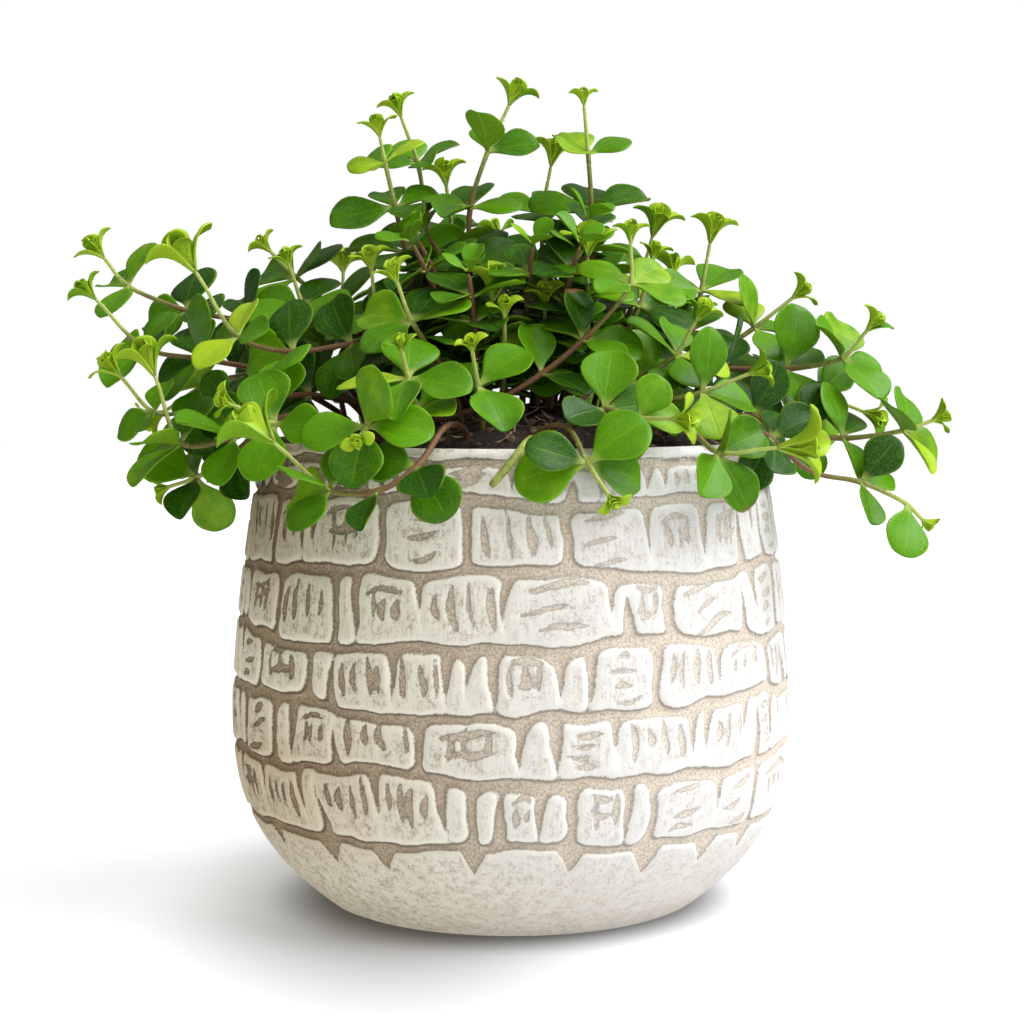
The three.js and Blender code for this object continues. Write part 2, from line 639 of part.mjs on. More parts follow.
function meetsPotOrSoil(leaf) {
  const corners = leaf.rim.flatMap((corner, k) => {
    const next = leaf.rim[(k + 1) % leaf.rim.length];
    return [corner, corner.clone().add(next).multiplyScalar(0.5)];
  });
  return corners.some(({ x, y, z }) => {
    const radius = Math.hypot(x, y);
    if (z > RIM_HEIGHT + WALL_ROOM) {
      return radius < innerRadius(z) && z < soilHeight(x, y) + SOIL_ROOM;
    }
    if (radius > potRadius(z) + WALL_ROOM) {
      return false;
    }
    return radius > innerRadius(z) - WALL_ROOM || z < soilHeight(x, y) + SOIL_ROOM;
  });
}

function pierces(from, to, triangle) {
  if (triangle.some((corner) => corner.distanceTo(from) < SAME_POINT || corner.distanceTo(to) < SAME_POINT)) {
    return false;
  }
  const step = to.clone().sub(from);
  const length = step.length();
  const ray = new THREE.Ray(from, step.divideScalar(length));
  const hit = ray.intersectTriangle(...triangle, false, new THREE.Vector3());
  return hit !== null && hit.distanceTo(from) <= length;
}

function trianglesCross(one, two) {
  return one.some((near) => two.some((far) => [0, 1, 2].some((k) => {
    const next = (k + 1) % 3;
    return pierces(near[k], near[next], far) || pierces(far[k], far[next], near);
  })));
}

// The triangles of one blade, as they will stand in the skin of its stem
function bladeTriangles(leaf) {
  const skin = new StemSkin();
  const { place, tangent, radius, first } = leaf.collar;
  const directions = facing(tangent, first);
  const pair = [directions[leaf.facet], directions[(leaf.facet + 1) % 4]];
  const [low, high] = [-1, 1].map((side) => {
    const middle = place.clone().addScaledVector(tangent, (side * COLLAR) / 2);
    return skin.corners(middle, pair, radius);
  });
  skin.blade([low[0], low[1], high[1], high[0]], leaf);
  return skin.triangles();
}

// On its own stem a blade crosses neither the tube and the bud nor another blade
function crossesOwnStem(leaf) {
  leaf.triangles = bladeTriangles(leaf);
  const reach = leaf.length + STEM_STEP;
  const tube = leaf.stem.tube.filter(([corner]) => corner.distanceTo(leaf.place) < reach);
  const near = leaf.stem.leaves.filter(({ middle }) => middle.distanceTo(leaf.middle) < reach);
  return trianglesCross(leaf.triangles, tube)
    || near.some(({ triangles }) => trianglesCross(leaf.triangles, triangles));
}

function hasRoom(leaf, plant, placed) {
  return !meetsPotOrSoil(leaf)
    && !plant.some((stem) => meetsStem(leaf, stem))
    && !placed.some((other) => leavesMeet(leaf, other))
    && !crossesOwnStem(leaf);
}

// The blades of a bud stand off its collar: two spread wide, two held close to its end
function growBud({ samples, bud }) {
  const { place, tangent } = samples[samples.length - 1];
  const size = bud[3];
  const collar = place.clone().addScaledVector(tangent, BUD_COLLAR * size);
  return BUD_BLADES.map(([turn, lift, share], facet) => {
    const frame = bladeFrame(collar, tangent, turn * DEGREE, lift * DEGREE);
    return makeLeaf(frame, YOUNG, size * share, YOUNG_RATIO, { facet, whorl: bud });
  });
}

// Blades take their places one by one, each clear of what is there; one with no room stays out
function growLeaves(plant) {
  const draw = draws(PLANT_SEED + 1);
  const placed = plant.flatMap((stem) => stem.budLeaves);
  for (const stem of plant) {
    stem.whorls.forEach((whorl, w) => {
      const [, , , count, first, length, lift] = whorl;
      const { place, tangent, radius } = stem.samples.find(({ node }) => node === w + 2);
      const collar = { place, tangent, radius: radius * COLLAR_SWELL, first };
      for (const facet of FACETS[count]) {
        const turn = first + FACET_TURNS[count][facet] + TURN_SPREAD * (draw() - 0.5);
        const raised = lift + LIFT_SPREAD * (draw() - 0.5);
        const twist = TWIST_SPREAD * (draw() - 0.5) * DEGREE;
        const size = length * mix(BLADE_SIZES, draw());
        const ratio = mix(BLADE_RATIOS, draw());
        const choices = TRIES.map(([moreTurn, moreLift, scale]) => {
          const [angle, rise] = [(turn + moreTurn) * DEGREE, (raised + moreLift) * DEGREE];
          const frame = leaningFrame(place, tangent, angle, rise, twist);
          return makeLeaf(frame, BLADE, size * scale, ratio, { stem, facet, whorl, collar });
        });
        const leaf = choices.find((choice) => hasRoom(choice, plant, placed));
        if (leaf) {
          placed.push(leaf);
          stem.leaves.push(leaf);
        }
      }
    });
  }
}

function growPlant() {
  const plant = [...STEMS, ...backStems()].map(layStem);
  growLeaves(plant);
  return plant;
}

function flattened(direction, tangent) {
  return direction.clone().addScaledVector(tangent, -direction.dot(tangent)).normalize();
}

// Four directions round a stem, with a facet facing the first blade of a whorl
function facing(tangent, first) {
  const [one, two] = roundAxes(tangent);
  return [0, 1, 2, 3].map((k) => {
    const turn = (first - 45 + 90 * k) * DEGREE;
    return one.clone().multiplyScalar(Math.cos(turn)).addScaledVector(two, Math.sin(turn));
  });
}

function turned(list, shift) {
  return list.map((_, k) => list[(k + shift) % list.length]);
}

function bestShift(list, wanted) {
  const score = (shift) => turned(list, shift).reduce((sum, item, k) => sum + item.dot(wanted[k]), 0);
  return [0, 1, 2, 3].reduce((best, shift) => (score(shift) > score(best) ? shift : best), 0);
}

// The skin of one stem or bud: a four-sided tube, whose collars open into blades
class StemSkin extends Skin {
  corners(place, directions, radius) {
    return directions.map((direction) => this.corner(place.clone().addScaledVector(direction, radius)));
  }

  corner(spot) {
    this.points.push(spot.toArray());
    return { id: this.points.length - 1, spot };
  }

  start(place, tangent, radius) {
    this.directions = facing(tangent, 0);
    this.last = this.corners(place, this.directions, radius);
    this.faces.push([this.last[0].id, this.last[2].id, this.last[1].id]);
    this.faces.push([this.last[0].id, this.last[3].id, this.last[2].id]);
  }

  step(place, tangent, radius) {
    this.directions = this.directions.map((direction) => flattened(direction, tangent));
    const next = this.corners(place, this.directions, radius);
    this.bevel(this.last, next);
    this.last = next;
  }

  // Each facet of a collar carries the blade that was given to it, or stays closed
  collar(place, tangent, radius, first, leaves) {
    const directions = facing(tangent, first);
    const previous = this.directions.map((direction) => flattened(direction, tangent));
    const shift = bestShift(directions, previous);
    this.directions = turned(directions, shift);
    const low = this.corners(place.clone().addScaledVector(tangent, -COLLAR / 2), this.directions, radius);
    const high = this.corners(place.clone().addScaledVector(tangent, COLLAR / 2), this.directions, radius);
    this.bevel(this.last, low);
    for (let side = 0; side < 4; side += 1) {
      const next = (side + 1) % 4;
      const facet = [low[side], low[next], high[next], high[side]];
      const leaf = leaves.find((item) => item.facet === (side + shift) % 4);
      if (leaf) {
        this.blade(facet, leaf);
      } else {
        this.cap(facet);
      }
    }
    this.last = high;
  }

  cap([a, b, c, d]) {
    this.faces.push([a.id, b.id, c.id], [a.id, c.id, d.id]);
  }

  blade(facet, leaf) {
    const middle = facet.reduce((sum, { spot }) => sum.add(spot), new THREE.Vector3()).multiplyScalar(0.25);
    const pattern = [[-1, -1], [1, -1], [1, 1], [-1, 1]];
    const wanted = pattern.map(([side, height]) =>
      leaf.across.clone().multiplyScalar(side).addScaledVector(leaf.up, height));
    const shift = bestShift(facet.map(({ spot }) => spot.clone().sub(middle)), wanted);
    let loop = turned(facet, shift);
    for (const [share, wide] of leaf.shape.rows.slice(1)) {
      if (wide === 0) {
        const tip = this.corner(spotOn(leaf, share, 0, 0));
        loop.forEach((corner, k) => this.faces.push([corner.id, loop[(k + 1) % 4].id, tip.id]));
        return;
      }
      const next = pattern.map(([side, height]) =>
        this.corner(spotOn(leaf, share, side * wide, (height * BLADE_THICKNESS) / 2)));
      this.shell(loop, next);
      loop = next;
    }
    this.cap(loop);
  }

  // The upper and lower face of a blade are split alike, so that they never cross
  shell(near, far) {
    for (let side = 0; side < 4; side += 1) {
      const next = (side + 1) % 4;
      const [a, b, c, d] = [near[side].id, near[next].id, far[next].id, far[side].id];
      this.faces.push(...(side < 2 ? [[a, b, c], [a, c, d]] : [[a, b, d], [b, c, d]]));
    }
  }

  triangles() {
    return this.faces.map((face) => face.map((id) => new THREE.Vector3(...this.points[id])));
  }

  bud({ budLeaves, samples, bud: [, , , size] }) {
    const { place, tangent } = samples[samples.length - 1];
    const collar = place.clone().addScaledVector(tangent, BUD_COLLAR * size);
    this.collar(collar, tangent, STEM_END_RADIUS, BUD_BLADES[0][0], budLeaves);
    const tip = this.corner(collar.addScaledVector(tangent, BUD_POINT * size));
    this.last.forEach((corner, k) => this.faces.push([corner.id, this.last[(k + 1) % 4].id, tip.id]));
  }
}

function stemSkin(stem) {
  const skin = new StemSkin();
  stem.samples.forEach(({ place, tangent, radius, node }, k) => {
    const whorl = stem.whorls[node - 2];
    if (k === 0) {
      skin.start(place, tangent, radius);
    } else if (whorl && whorl[3] > 0) {
      const leaves = stem.leaves.filter((leaf) => leaf.whorl === whorl);
      skin.collar(place, tangent, radius * COLLAR_SWELL, whorl[4], leaves);
    } else {
      skin.step(place, tangent, radius);
    }
  });
  if (stem.bud[4]) {
    skin.cap(skin.last);
  } else {
    skin.bud(stem);
  }
  return skin;
}

function makeStem(stem) {
  const { points, faces } = stemSkin(stem);
  return meshOf(`leafy_stem_${stem.number}`, geometryOf(points, faces), COLORS.stem);
}

function makeBud(stem) {
  const skin = new StemSkin();
  const { place, tangent } = stem.samples[stem.samples.length - 1];
  skin.start(place.clone().addScaledVector(tangent, SEAT_GAP), tangent, STEM_END_RADIUS);
  skin.bud(stem);
  return meshOf(`shoot_tip_${stem.number}`, geometryOf(skin.points, skin.faces), COLORS.bud);
}

const plant = growPlant();
const group = new THREE.Group();
group.name = "potted_trailing_plant";
group.add(makePot(), makeSoil(plant));
group.add(...plant.map(makeStem));
group.add(...plant.filter(({ bud }) => bud[4]).map(makeBud));

export default group;
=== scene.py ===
"""A bushy trailing plant in a pot with a carved wall of raised blocks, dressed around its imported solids.

Forms are worked out in millimetres where a comment says so, and the scene is in metres. Every piece
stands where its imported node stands: the stems and leaves take their places from those nodes.
"""

import bisect
import math

import bmesh
import bpy
from bpy.props import FloatProperty, FloatVectorProperty, IntProperty, PointerProperty
from mathutils import Matrix, Vector, noise


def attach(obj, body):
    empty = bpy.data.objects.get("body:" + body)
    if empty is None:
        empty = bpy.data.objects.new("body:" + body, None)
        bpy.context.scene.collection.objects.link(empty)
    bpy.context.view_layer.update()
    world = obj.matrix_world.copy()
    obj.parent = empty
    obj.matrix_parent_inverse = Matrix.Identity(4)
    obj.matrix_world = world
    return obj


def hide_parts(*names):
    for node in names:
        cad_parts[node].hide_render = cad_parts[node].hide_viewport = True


bl_info = {
    "name": "Potted trailing plant",
    "version": (1, 0, 0),
    "blender": (4, 5, 0),
    "location": "3D View > Sidebar > Potted plant",
    "description": "Dresses the packed solids of a trailing plant in a carved pot",
    "category": "Object",
}

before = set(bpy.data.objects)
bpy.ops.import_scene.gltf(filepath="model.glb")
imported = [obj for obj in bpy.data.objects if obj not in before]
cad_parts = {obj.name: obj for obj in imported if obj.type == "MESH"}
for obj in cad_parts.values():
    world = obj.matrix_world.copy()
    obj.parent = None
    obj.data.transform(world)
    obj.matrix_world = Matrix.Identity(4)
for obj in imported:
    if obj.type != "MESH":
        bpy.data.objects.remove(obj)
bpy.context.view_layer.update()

MM = 0.001
TURN = 2 * math.pi
BODY = "root"
STEM_NODES = sorted(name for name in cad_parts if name.startswith("leafy_stem_"))
TIP_NODES = sorted(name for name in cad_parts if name.startswith("shoot_tip_"))

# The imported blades: thickness, and where along its length each kind has its rows, with the arch there
BLADE_THICKNESS = 0.7 * MM
COLLAR_HEIGHT = 0.8 * MM
LENGTH_SLACK = 0.001 * MM
COLLAR_SLACK = 0.02 * MM
GROWN_ROWS = ((0.58, 0.04), (0.95, -0.03))
YOUNG_ROWS = ((0.55, 0.04), (1.0, 0.0))


# ---- Settings


class PotSettings(bpy.types.PropertyGroup):
    """The carved pot."""

    foot_radius: FloatProperty(
        name="Foot radius", description="Radius of the flat foot in millimetres", default=52.0)
    belly_radius: FloatProperty(
        name="Belly radius", description="Widest radius in millimetres", default=79.9)
    belly_height: FloatProperty(
        name="Belly height", description="Height of the widest ring in millimetres", default=58.0)
    rim_radius: FloatProperty(
        name="Rim radius", description="Outer radius of the lip in millimetres", default=71.2)
    rim_height: FloatProperty(
        name="Rim height", description="Height of the lip in millimetres", default=131.2)
    wall: FloatProperty(name="Wall", description="Wall thickness in millimetres", default=5.0)
    relief: FloatProperty(name="Relief", description="Depth of the grooves in millimetres", default=1.2)
    groove: FloatProperty(name="Groove", description="Half the width of a groove in millimetres", default=0.9)
    stroke_depth: FloatProperty(
        name="Stroke depth", description="Depth of the cuts on the blocks in millimetres", default=0.45)
    steps: IntProperty(name="Steps", description="Steps of the spin round the wall", default=80)
    cuts: IntProperty(name="Cuts", description="Finer cuts in each step of the spin", default=6)
    seed: IntProperty(name="Seed", description="Draws the uneven joints", default=41)
    wash: FloatVectorProperty(
        name="Wash", description="Chalky wash on the raised blocks",
        subtype="COLOR", default=(0.775, 0.73, 0.57))
    # Painted light: the wash on the right-hand side, paler and more neutral as if brightly lit by the key
    # light
    lit_side_wash: FloatVectorProperty(
        name="Thick wash", description="The wash on the side where it was brushed on thick",
        subtype="COLOR", default=(0.725, 0.72, 0.70))
    clay: FloatVectorProperty(
        name="Clay", description="Bare clay in the grooves", subtype="COLOR", default=(0.31, 0.232, 0.13))
    # Painted light: the clay in the grooves on the right-hand side, paler as if brightly lit
    lit_side_clay: FloatVectorProperty(
        name="Filmed clay", description="Clay in the grooves under a thin film of the thick wash",
        subtype="COLOR", default=(0.61, 0.535, 0.445))


class SoilSettings(bpy.types.PropertyGroup):
    """The potting soil."""

    edge_height: FloatProperty(
        name="Edge height", description="Height at the wall in millimetres", default=128.5)
    mound: FloatProperty(
        name="Mound", description="Rise of the middle above the edge in millimetres", default=12.0)
    radius: FloatProperty(
        name="Radius", description="Radius that the mound is worked out on, in millimetres", default=66.0)
    crumbs: IntProperty(name="Crumbs", description="Loose crumbs on the surface", default=420)
    fibres: IntProperty(name="Fibres", description="Pale fibres on the surface", default=430)
    peat: FloatVectorProperty(
        name="Peat", description="Colour of the peat", subtype="COLOR", default=(0.040, 0.022, 0.014))
    fibre: FloatVectorProperty(
        name="Fibre", description="Colour of the dry fibres", subtype="COLOR", default=(0.44, 0.31, 0.19))


class PlantSettings(bpy.types.PropertyGroup):
    """The stems and leaves."""

    sides: IntProperty(name="Sides", description="Sides of a stem before smoothing", default=6)
    blade: FloatProperty(
        name="Blade", description="Thickness of a leaf as a share of its length", default=0.034)
    hair_length: FloatProperty(
        name="Hair length", description="Length of the stem hairs in millimetres", default=1.0)
    hair_spacing: FloatProperty(
        name="Hair spacing", description="Stem length for each hair in millimetres", default=0.8)
    inner_shoots: IntProperty(
        name="Inner shoots", description="Short shoots of old leaves in the middle of the plant", default=12)
    seed: IntProperty(name="Seed", description="Draws the tones and bends of the leaves", default=3)
    old_leaf: FloatVectorProperty(
        name="Old leaf", description="Colour of the oldest leaves",
        subtype="COLOR", default=(0.009, 0.060, 0.002))
    grown_leaf: FloatVectorProperty(
        name="Grown leaf", description="Colour of grown leaves",
        subtype="COLOR", default=(0.082, 0.255, 0.0015))
    young_leaf: FloatVectorProperty(
        name="Young leaf", description="Colour of young leaves", subtype="COLOR", default=(0.33, 0.50, 0.018))
    old_stem: FloatVectorProperty(
        name="Old stem", description="Colour of an old stem", subtype="COLOR", default=(0.17, 0.090, 0.042))
    young_stem: FloatVectorProperty(
        name="Young stem", description="Colour of a young stem", subtype="COLOR", default=(0.38, 0.46, 0.11))


class StageSettings(bpy.types.PropertyGroup):
    """The camera, the floor and the lights."""

    lens: FloatProperty(
        name="Lens", description="Focal length", subtype="DISTANCE_CAMERA", default=79.9)
    distance: FloatProperty(
        name="Distance", description="Distance of the camera from the pot's axis",
        unit="LENGTH", default=0.65)
    height: FloatProperty(name="Height", description="Height of the camera", unit="LENGTH", default=0.156)
    pitch: FloatProperty(
        name="Pitch", description="How far the camera looks down",
        subtype="ANGLE", default=math.radians(4.03))
    key_strength: FloatProperty(
        name="Key strength", description="Strength of the broad light from the right", default=4.2)
    fill_strength: FloatProperty(
        name="Fill strength", description="Strength of the soft light from the front", default=1.17)
    top_strength: FloatProperty(
        name="Top strength", description="Strength of the very soft light from above", default=0.6)
    # Painted glow of the floor, as of a table lit from below
    floor_glow: FloatProperty(
        name="Floor glow", description="How much lighter the floor is seen, as over a lit table",
        default=0.74)
    surround: FloatVectorProperty(
        name="Surround", description="Light of the surround, a little warm", subtype="COLOR",
        default=(0.18, 0.16, 0.13))


# ---- Drawing of numbers, smooth steps and tables


def draws(seed):
    """Numbers from 0 to 1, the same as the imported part's own rule draws."""
    state = seed
    while True:
        state = (state * 1664525 + 1013904223) % 4294967296
        yield state / 4294967296


def mix(low, high, share):
    return low + (high - low) * share


def smooth_step(low, high, value):
    share = min(max((value - low) / (high - low), 0.0), 1.0)
    return share * share * (3 - 2 * share)


def from_rows(rows, at):
    """A value between the rows of a table of (place, value)."""
    before = rows[0]
    for row in rows:
        if at <= row[0]:
            gap = row[0] - before[0]
            return mix(before[1], row[1], (at - before[0]) / gap if gap else 0.0)
        before = row
    return before[1]


# ---- Materials


class Paint:
    """A material while it is mixed: adds its nodes and joins them."""

    def __init__(self, name):
        self.material = bpy.data.materials.new(name)
        self.material.use_nodes = True
        self.tree = self.material.node_tree
        self.shader = self.tree.nodes["Principled BSDF"]

    def feed(self, socket, value):
        if isinstance(value, bpy.types.NodeSocket):
            self.tree.links.new(value, socket)
        elif socket.type == "RGBA":
            socket.default_value = (*tuple(value)[:3], 1.0)
        else:
            socket.default_value = value

    def add(self, kind, inputs, **settings):
        node = self.tree.nodes.new(kind)
        for name, value in settings.items():
            setattr(node, name, value)
        for key, value in inputs.items():
            self.feed(node.inputs[key], value)
        return node

    def math(self, operation, *values):
        return self.add("ShaderNodeMath", dict(enumerate(values)), operation=operation).outputs[0]

    def times(self, one, *others):
        """All the values multiplied."""
        for other in others:
            one = self.math("MULTIPLY", one, other)
        return one

    def plus(self, one, two):
        return self.math("ADD", one, two)

    def minus(self, one, two):
        return self.math("SUBTRACT", one, two)

    def vector(self, operation, *values, output="Vector"):
        node = self.add("ShaderNodeVectorMath", dict(enumerate(values)), operation=operation)
        return node.outputs[output]

    def parts(self, vector):
        """The three numbers of a vector."""
        return self.add("ShaderNodeSeparateXYZ", {0: vector}).outputs

    def blend(self, share, one, two, way="MIX"):
        node = self.add("ShaderNodeMix", {0: share, 6: one, 7: two}, data_type="RGBA", blend_type=way)
        return node.outputs[2]

    def shade(self, colour, share):
        """The colour made lighter or darker by a number."""
        return self.vector("MULTIPLY", colour, (share, share, share))

    def step(self, value, low, high, start=0.0, end=1.0):
        """The value's way from low to high, smoothed, as a number from start to end."""
        inputs = {"Value": value, "From Min": low, "From Max": high, "To Min": start, "To Max": end}
        return self.add("ShaderNodeMapRange", inputs, interpolation_type="SMOOTHSTEP").outputs[0]

    def place(self, scale=(1, 1, 1)):
        spot = self.add("ShaderNodeTexCoord", {}).outputs["Object"]
        return self.add("ShaderNodeMapping", {"Vector": spot, "Scale": scale}).outputs[0]

    def grain(self, scale, detail=2.0, rough=0.5, stretch=(1, 1, 1)):
        inputs = {"Vector": self.place(stretch), "Scale": scale, "Detail": detail, "Roughness": rough}
        return self.add("ShaderNodeTexNoise", inputs).outputs[0]

    def attribute(self, name, output="Fac"):
        return self.add("ShaderNodeAttribute", {}, attribute_name=name).outputs[output]

    def bump(self, height, distance, strength=1.0):
        inputs = {"Height": height, "Distance": distance, "Strength": strength}
        return self.add("ShaderNodeBump", inputs).outputs[0]

    def finish(self, **inputs):
        for name, value in inputs.items():
            self.feed(self.shader.inputs[name.replace("_", " ")], value)
        return self.material


# Darker at the foot: partly handling grime, partly painted shade of the foot band that faces down away from
# the light
GRIME_AND_SHADE_TINT = (0.88, 0.83, 0.75)
# Painted shadow of the overhanging leaves on the pot's upper left
LEAF_SHADOW_TINT = (0.46, 0.385, 0.285)
# Tint of the band low on the left side
LOW_DOWN = (0.84, 0.75, 0.66)


def washed_clay(pot):
    """Clay with a chalky wash on what stands up, rubbed thin inside the blocks and off in the cuts."""
    paint = Paint("washed clay")
    mottle = paint.grain(420, 5, 0.68)
    scuff = paint.grain(1100, 4, 0.75)
    sand = paint.grain(1700, 2, 0.6)
    fine = paint.grain(2800, 3, 0.75)
    hairlines = paint.grain(1, 3, 0.65, (1300, 1300, 120))
    across, _, above = paint.parts(paint.place())
    # Painted light: towards the right (+X), where the key light falls, the wash and the clay turn paler and
    # more neutral, and the cuts and dark lines there fainter
    lit_side = paint.step(across, -0.075, 0.045)
    wash = paint.blend(lit_side, pot.wash, pot.lit_side_wash)
    bare = paint.blend(lit_side, pot.clay, pot.lit_side_clay)

    # How far inside a block and inside a cut, both with a frayed edge
    fray = paint.minus(sand, 0.5)
    edge = paint.plus(paint.attribute("edge"), paint.times(fray, 0.8))
    stroke = paint.plus(paint.attribute("stroke"), paint.times(fray, 0.9))
    stroke = paint.plus(stroke, paint.times(paint.minus(hairlines, 0.5), 0.6))
    raised = paint.step(edge, -0.05, 0.35)
    cut = paint.times(paint.step(stroke, -0.25, 0.15), paint.step(lit_side, 0.0, 1.0, 1.0, 0.8))

    # Where the wash has held
    worn = paint.plus(paint.times(mottle, 0.7), paint.times(scuff, 0.7))
    worn = paint.plus(worn, paint.times(hairlines, 0.35))
    worn = paint.times(paint.step(worn, 0.84, 1.06, 0.0, 0.8), paint.step(edge, 0.7, 2.6, 0.1, 1.0))
    washed = paint.times(raised, paint.minus(1.0, paint.math("MAXIMUM", cut, worn)))

    # The wash: streaked, specked, rubbed pale along the blocks, and darker at the foot, partly with handling
    # grime and partly with painted shade where the band faces down away from the light
    pale = paint.blend(paint.step(hairlines, 0.35, 0.75, 0.0, 0.5), wash, paint.shade(wash, 0.82))
    pale = paint.blend(paint.step(fine, 0.47, 0.72, 0.0, 0.42), pale, paint.shade(wash, 0.62))
    rubbed = paint.step(paint.attribute("edge"), 0.3, 1.8, 0.6, 0.0)
    pale = paint.blend(rubbed, pale, paint.shade(wash, 1.1))
    foot_grime_and_shade = paint.times(paint.step(above, 0.0, 0.036, 0.8, 0.0), paint.step(mottle, 0.3, 0.6, 0.55, 1.0))
    grime_and_shade_colour = paint.blend(1.0, paint.blend(0.54, bare, wash), GRIME_AND_SHADE_TINT, "MULTIPLY")
    pale = paint.blend(foot_grime_and_shade, pale, grime_and_shade_colour)

    # The clay: sandy, with thin dark lines along the blocks and the cuts, painted shadow that is darkest
    # under the blocks' lower edges and fainter on the lit right side
    clay = paint.blend(paint.step(sand, 0.36, 0.6), paint.shade(bare, 0.72), paint.shade(bare, 1.12))
    clay = paint.blend(paint.step(sand, 0.57, 0.68, 0.0, 0.5), clay, paint.shade(wash, 0.8))
    shadow_lines = paint.times(paint.step(edge, -0.8, -0.2), paint.step(edge, -0.05, 0.3, 1.0, 0.0))
    shadow_lines = paint.times(shadow_lines, paint.step(paint.attribute("under"), 0.3, 0.9, 0.3, 1.0))
    lip = paint.times(paint.step(stroke, -0.3, 0.0), paint.step(stroke, 0.1, 0.45, 0.8, 0.0), raised)
    shadow_lines = paint.times(paint.math("MAXIMUM", shadow_lines, lip), paint.step(lit_side, 0.0, 1.0, 1.0, 0.6))
    clay = paint.blend(shadow_lines, clay, paint.shade(bare, 0.3))

    # Both, with the painted shadow of the overhanging leaves on the upper left, and darker and warmer in a
    # band low on the left side
    painted_leaf_shadow = paint.times(paint.step(across, -0.076, -0.028, 1.0, 0.0), paint.step(above, 0.07, 0.118))
    colour = paint.blend(painted_leaf_shadow, paint.blend(washed, clay, pale), LEAF_SHADOW_TINT, "MULTIPLY")
    # Darker and warmer in a band low on the left side
    low = paint.times(paint.step(above, 0.014, 0.03), paint.step(above, 0.045, 0.066, 1.0, 0.0),
                      paint.step(across, -0.074, -0.01, 1.0, 0.0))
    colour = paint.blend(low, colour, LOW_DOWN, "MULTIPLY")

    height = paint.plus(paint.times(raised, 0.6), paint.times(sand, 0.35))
    height = paint.minus(height, paint.times(cut, 0.4))
    height = paint.minus(height, paint.times(worn, 0.25))
    return paint.finish(
        Base_Color=colour, Roughness=paint.step(washed, 0.0, 1.0, 0.9, 0.76),
        Normal=paint.bump(height, 0.5 * MM, 0.85))


def darker(colour, share):
    """A plain colour times a number."""
    return tuple(share * part for part in colour)


def damp_peat(soil):
    paint = Paint("damp peat")
    crumb = paint.grain(900, 5, 0.65)
    colour = paint.blend(paint.step(crumb, 0.35, 0.62), darker(soil.peat, 0.35), soil.peat)
    colour = paint.blend(paint.step(crumb, 0.62, 0.72, 0.0, 0.6), colour, darker(soil.peat, 3.2))
    return paint.finish(Base_Color=colour, Roughness=0.92, Normal=paint.bump(crumb, 1.2 * MM))


def dry_fibre(soil):
    paint = Paint("dry fibre")
    colour = paint.blend(paint.attribute("tone"), darker(soil.fibre, 0.22), soil.fibre)
    colour = paint.blend(paint.step(paint.grain(1600, 2), 0.4, 0.7, 0.0, 0.5), colour, soil.peat)
    return paint.finish(Base_Color=colour, Roughness=0.85)


DRY_TIP = (0.17, 0.085, 0.025)
UNDERSIDE = (0.23, 0.38, 0.02)
RIB = (0.34, 0.50, 0.055)
HALF_GROWN_STEM = (0.16, 0.18, 0.035)
YOUNG_HAIR = (0.62, 0.68, 0.38)
OLD_HAIR = (0.52, 0.42, 0.31)
LEAF_IOR = 1.26
UNDERSIDE_IOR = 1.17
DRY_TIP_TONE = 0.965
SIDE_VEIN = 0.47


def drifted(paint, value, noise_value, share):
    """The value moved up and down by a noise."""
    return paint.plus(value, paint.times(paint.minus(noise_value, 0.5), share))


def leaf_colour(paint, plant):
    """Green by age: lime at the tips, deep green on old wood, each leaf a little apart."""
    shifted = drifted(paint, paint.attribute("age"), paint.grain(170, 3, 0.6), 0.5)
    shifted = drifted(paint, shifted, paint.attribute("tone"), 0.75)
    green = paint.blend(paint.step(shifted, 0.0, 0.4), plant.young_leaf, plant.grown_leaf)
    return paint.blend(paint.step(shifted, 0.4, 1.1), green, plant.old_leaf)


def leaf_top(plant):
    """The upper face: pale curved veins, fine mottling, a thin pale rim and a soft gloss."""
    paint = Paint("leaf top")
    colour = leaf_colour(paint, plant)
    along, side, _ = paint.parts(paint.attribute("spot", "Vector"))
    across = paint.math("ABSOLUTE", side)
    to_side_vein = paint.math("ABSOLUTE", paint.minus(across, SIDE_VEIN))
    middle = paint.step(across, 0.0, 0.08, 1.0, 0.0)
    vein = paint.math("MAXIMUM", middle, paint.step(to_side_vein, 0.0, 0.06, 0.4, 0.0))
    vein = paint.times(vein, paint.step(along, 0.75, 1.0, 1.0, 0.0))
    pale = paint.blend(0.5, colour, plant.young_leaf)
    colour = paint.blend(paint.times(vein, 0.24), colour, pale)

    # Flecks, less of them on a young leaf
    fleck = paint.grain(1700, 3, 0.7)
    grown = paint.step(paint.attribute("age"), 0.1, 0.45, 0.2, 1.0)
    colour = paint.blend(paint.times(paint.step(fleck, 0.46, 0.7, 0.0, 0.26), grown), colour, pale)
    dark = paint.times(paint.step(fleck, 0.28, 0.48, 0.45, 0.0), grown)
    colour = paint.blend(dark, colour, paint.shade(colour, 0.6))

    colour = paint.blend(paint.step(across, 0.93, 1.0, 0.0, 0.4), colour, pale)
    colour = paint.blend(paint.step(along, 0.06, 0.24, 0.7, 0.0), colour, plant.young_stem)
    reach = paint.plus(along, paint.times(paint.grain(500, 3), 0.3))
    dry = paint.times(paint.step(paint.attribute("tone"), DRY_TIP_TONE, DRY_TIP_TONE + 0.005),
                      paint.step(reach, 1.04, 1.08))
    height = paint.minus(paint.times(fleck, 0.5), paint.times(vein, 0.6))
    return paint.finish(
        Base_Color=paint.blend(dry, colour, DRY_TIP), IOR=LEAF_IOR,
        Roughness=paint.step(paint.grain(240, 2), 0.35, 0.7, 0.3, 0.46),
        Normal=paint.bump(height, 0.14 * MM, paint.times(grown, 0.8)))


